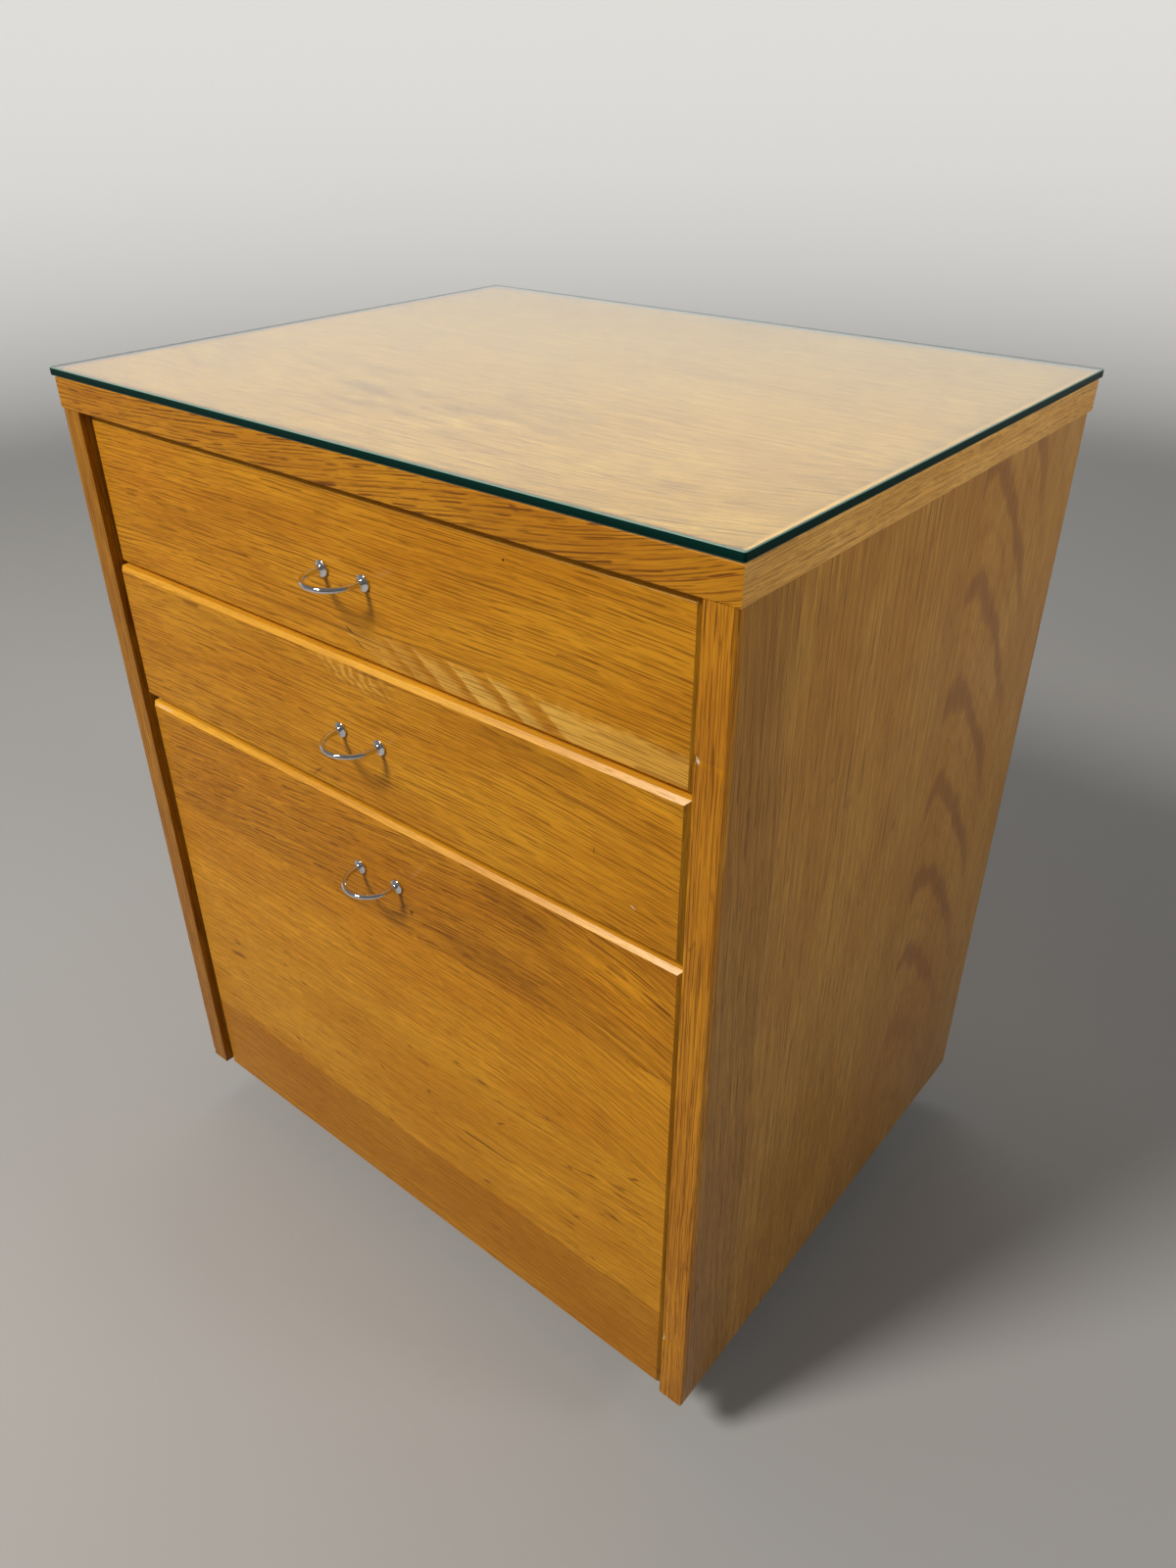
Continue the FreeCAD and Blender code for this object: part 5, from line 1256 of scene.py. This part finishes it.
# ------------------------------------------------------------- drawer boxes
BIRCH1, BIRCH2 = (0.66, 0.49, 0.29), (0.58, 0.41, 0.22)
for which, dd in DRAWERS.items():
    drawer_front(which, dd)
    k = 60.0 + dd["base"] * 0.01
    left_ply = plain_wood(which + "_ply_left", "YZX", BIRCH1, BIRCH2, "X", 1.40, -254.5, seed=k)
    right_ply = plain_wood(which + "_ply_right", "YZX", BIRCH1, BIRCH2, "X", 1.40, 248.5, seed=k + 1)
    back_ply = plain_wood(which + "_ply_back", "XZY", BIRCH1, BIRCH2, "Y", 1.40,
                          dd["face"] + 19.5 + 388.0, seed=k + 2)
    base_ply = plain_wood(which + "_ply_base", "XYZ", BIRCH1, BIRCH2, "Z", 1.32,
                          dd["base"] + 10.0, seed=k + 3)
    from_cad(which + "_drawer_left_side", which + "_box_left", [left_ply], 0.7, 2)
    from_cad(which + "_drawer_right_side", which + "_box_right", [right_ply], 0.7, 2)
    from_cad(which + "_drawer_back", which + "_box_back", [back_ply], 0.6, 2)
    from_cad(which + "_drawer_bottom", which + "_box_base", [base_ply], 0.15, 1)
from_cad("hanging_file_rails", "hanging_rails", [mat["bare_steel"]], 0.5, 2)


# ------------------------------------------------------------------ castors
def castor_plates():
    bm = cad_mesh("castor_plates")
    upright, rest = [], []
    for e in sharp_edges(bm):
        a, b = e.verts[0].co * 1000, e.verts[1].co * 1000
        if abs(a.z - b.z) > 2.0 and abs(a.x - b.x) < 0.01 and abs(a.y - b.y) < 0.01 and min(a.z, b.z) > 59:
            far = min(max(abs(a.x - x), abs(a.y - y)) for x, y, t in CORNERS.values())
            if far > 28.0:
                upright.append(e)
    ease(bm, upright, 6.0, 5)
    ease(bm, sharp_edges(bm, 35.0), 0.35, 2)
    return finish_mesh("castor_mounting_plates", bm, [mat["castor_steel"]], "carcass",
                       ("castor_plates",))


castor_plates()


def castor_wheel(name, x, y, t):
    c, s = math.cos(math.radians(t)), math.sin(math.radians(t))
    ax = Vector((c, s, 0))
    centre = Vector((x - s * 18.0, y + c * 18.0, 22.0))
    bm = bmesh.new()
    R, w, b = 22.0, 18.0, 3.05
    # hub and web in one piece, the tread as a separate ring round it
    half = [(-w / 2, b + 0.3), (-w / 2, 5.9), (-w / 2 + 0.4, 6.4), (-w / 2 + 2.4, 7.6),
            (-w / 2 + 2.6, 8.4), (-w / 2 + 2.6, R - 6.6), (-w / 2 + 1.6, R - 5.6),
            (-w / 2 + 0.7, R - 4.9)]
    prof = half + [(-a, r) for a, r in reversed(half)] + [(w / 2 - 0.3, b), (-w / 2 + 0.3, b)]
    turn(bm, prof, centre, ax, 64, close=True)
    tread = [(-w / 2 + 0.7, R - 4.9), (-w / 2 + 0.55, R - 3.6), (-w / 2 + 0.8, R - 2.4),
             (-w / 2 + 1.7, R - 1.0), (-w / 2 + 3.0, R - 0.25), (-w / 2 + 4.6, R),
             (0.0 - 0.5, R), (-0.35, R - 0.12), (0.35, R - 0.12), (0.5, R), (w / 2 - 4.6, R),
             (w / 2 - 3.0, R - 0.25), (w / 2 - 1.7, R - 1.0), (w / 2 - 0.8, R - 2.4),
             (w / 2 - 0.55, R - 3.6), (w / 2 - 0.7, R - 4.9), (w / 2 - 0.9, R - 5.1),
             (-w / 2 + 0.9, R - 5.1)]
    turn(bm, tread, centre, ax, 64, index=1, close=True)
    # moulded ribs between hub and rim, both sides
    up = Vector((0, 0, 1))
    side = ax.cross(up)
    for sgn in (-1, 1):
        for k in range(6):
            a = math.pi * 2 * k / 6 + 0.26
            rad = side * math.cos(a) + up * math.sin(a)
            tan = side * -math.sin(a) + up * math.cos(a)
            quad = []
            for r0 in (6.6, R - 5.9):
                for hw in (-0.8, 0.8):
                    for d in (0.0, 1.0):
                        along = sgn * (w / 2 - 2.75 + 1.35 * d)
                        quad.append(bm.verts.new((centre + rad * r0 + tan * (hw * (1 - 0.35 * d)) + ax * along) * MM))
            for idx in ((0, 2, 3, 1), (4, 5, 7, 6), (0, 1, 5, 4), (2, 6, 7, 3), (1, 3, 7, 5), (0, 4, 6, 2)):
                bm.faces.new([quad[i] for i in idx])
    return finish_mesh("castor_wheel_moulding_" + name, bm, [mat["wheel"], mat["tread"]],
                       "castor_" + name + "_wheel", ("castor_wheel_" + name,),
                       angle=38)


for name, (x, y, t) in CORNERS.items():
    from_cad("castor_fork_" + name, "castor_pressed_fork_" + name, [mat["castor_steel"]], 0.5, 3,
             least=40.0)
    castor_wheel(name, x, y, t)


# =====================================================================
# stage, light and camera
# =====================================================================
def stage_material():
    """Matt pale floor; the wall glows softly behind and to the left and is dark in front."""
    net = Net("studio_floor")
    x, y, z = net.coords()
    far = net.math("SQRT", net.mad(x, x, net.mul(y, y)))
    side = net.math("DIVIDE", net.mad(y, 0.774, net.mul(x, -0.633)), net.math("MAXIMUM", far, 1.0))
    glow = net.step(side, 0.0, 0.9, 0.08, 0.56)
    glow = net.mul(glow, net.step(far, 2600.0, 4600.0))
    front = net.mul(net.step(side, -0.45, -0.85), net.step(far, 2200.0, 3200.0))
    net.set(Base_Color=net.mix(front, (0.42, 0.416, 0.41), (0.060, 0.060, 0.060)), Roughness=0.9,
            Specular_IOR_Level=0.1, Emission_Color=(1.0, 0.985, 0.955), Emission_Strength=glow)
    return net.m


def cove():
    """Pale floor that sweeps up into a wall all round."""
    bm = bmesh.new()
    prof = [(0.0, 0.0), (0.0, 600.0), (0.0, 1500.0), (0.0, 3000.0)]
    for k in range(1, 17):
        t = math.radians(90.0 * k / 16)
        prof.append((1500.0 * (1 - math.cos(t)), 3000.0 + 1500.0 * math.sin(t)))
    prof.append((2600.0, 4500.0))
    turn(bm, prof, (0, 0, 0), (0, 0, 1), 96)
    for f in bm.faces:
        f.smooth = True
    me = bpy.data.meshes.new("studio_floor")
    bm.to_mesh(me)
    bm.free()
    me.materials.append(stage_material())
    ob = bpy.data.objects.new("studio_floor", me)
    scene.collection.objects.link(ob)


cove()


def area(name, at, target, size, power, colour=(1, 1, 1), spread=None, mirrored=True):
    d = bpy.data.lights.new(name, "AREA")
    d.energy = power
    d.color = colour
    d.shape = "DISK"
    d.size = size
    if spread:
        d.spread = math.radians(spread)
    o = bpy.data.objects.new(name, d)
    scene.collection.objects.link(o)
    o.location = at
    o.rotation_euler = (Vector(target) - Vector(at)).to_track_quat("-Z", "Y").to_euler()
    o.visible_glossy = mirrored
    return o


area("key", (-0.75, -2.15, 2.75), (0.0, -0.15, 0.40), 0.75, 87.0, (1.0, 0.96, 0.90))
area("overhead", (-0.7, 0.5, 3.3), (-0.1, 0.0, 0.5), 1.8, 14.0, (1.0, 0.99, 0.97),
     mirrored=False)
area("side", (1.75, 0.45, 1.45), (0.29, 0.02, 0.72), 0.6, 0.95, (1.0, 0.99, 0.97), spread=46.0)

world = bpy.data.worlds.new("studio")
scene.world = world
world.use_nodes = True
bg = world.node_tree.nodes["Background"]
bg.inputs[0].default_value = (1.0, 0.985, 0.96, 1.0)
bg.inputs[1].default_value = 0.155

cam = bpy.data.cameras.new("camera")
cam.sensor_fit = "AUTO"
cam.sensor_width = 36.0
cam.lens = 1179.406 / 1600.0 * 36.0
cam.clip_start = 0.01
camera = bpy.data.objects.new("camera", cam)
scene.collection.objects.link(camera)
right = Vector((0.77437982, 0.63272026, -0.00097738))
down = Vector((0.3332668, -0.40919391, -0.84940778))
ahead = Vector((-0.53783746, 0.65743852, -0.52773617))
place = Matrix.Identity(4)
for i in range(3):
    place[i][0], place[i][1], place[i][2] = right[i], -down[i], -ahead[i]
    place[i][3] = (550.14984, -643.97612, 909.65649)[i] * MM
camera.matrix_world = place
scene.camera = camera
scene.view_settings.view_transform = "Standard"
scene.view_settings.look = "None"
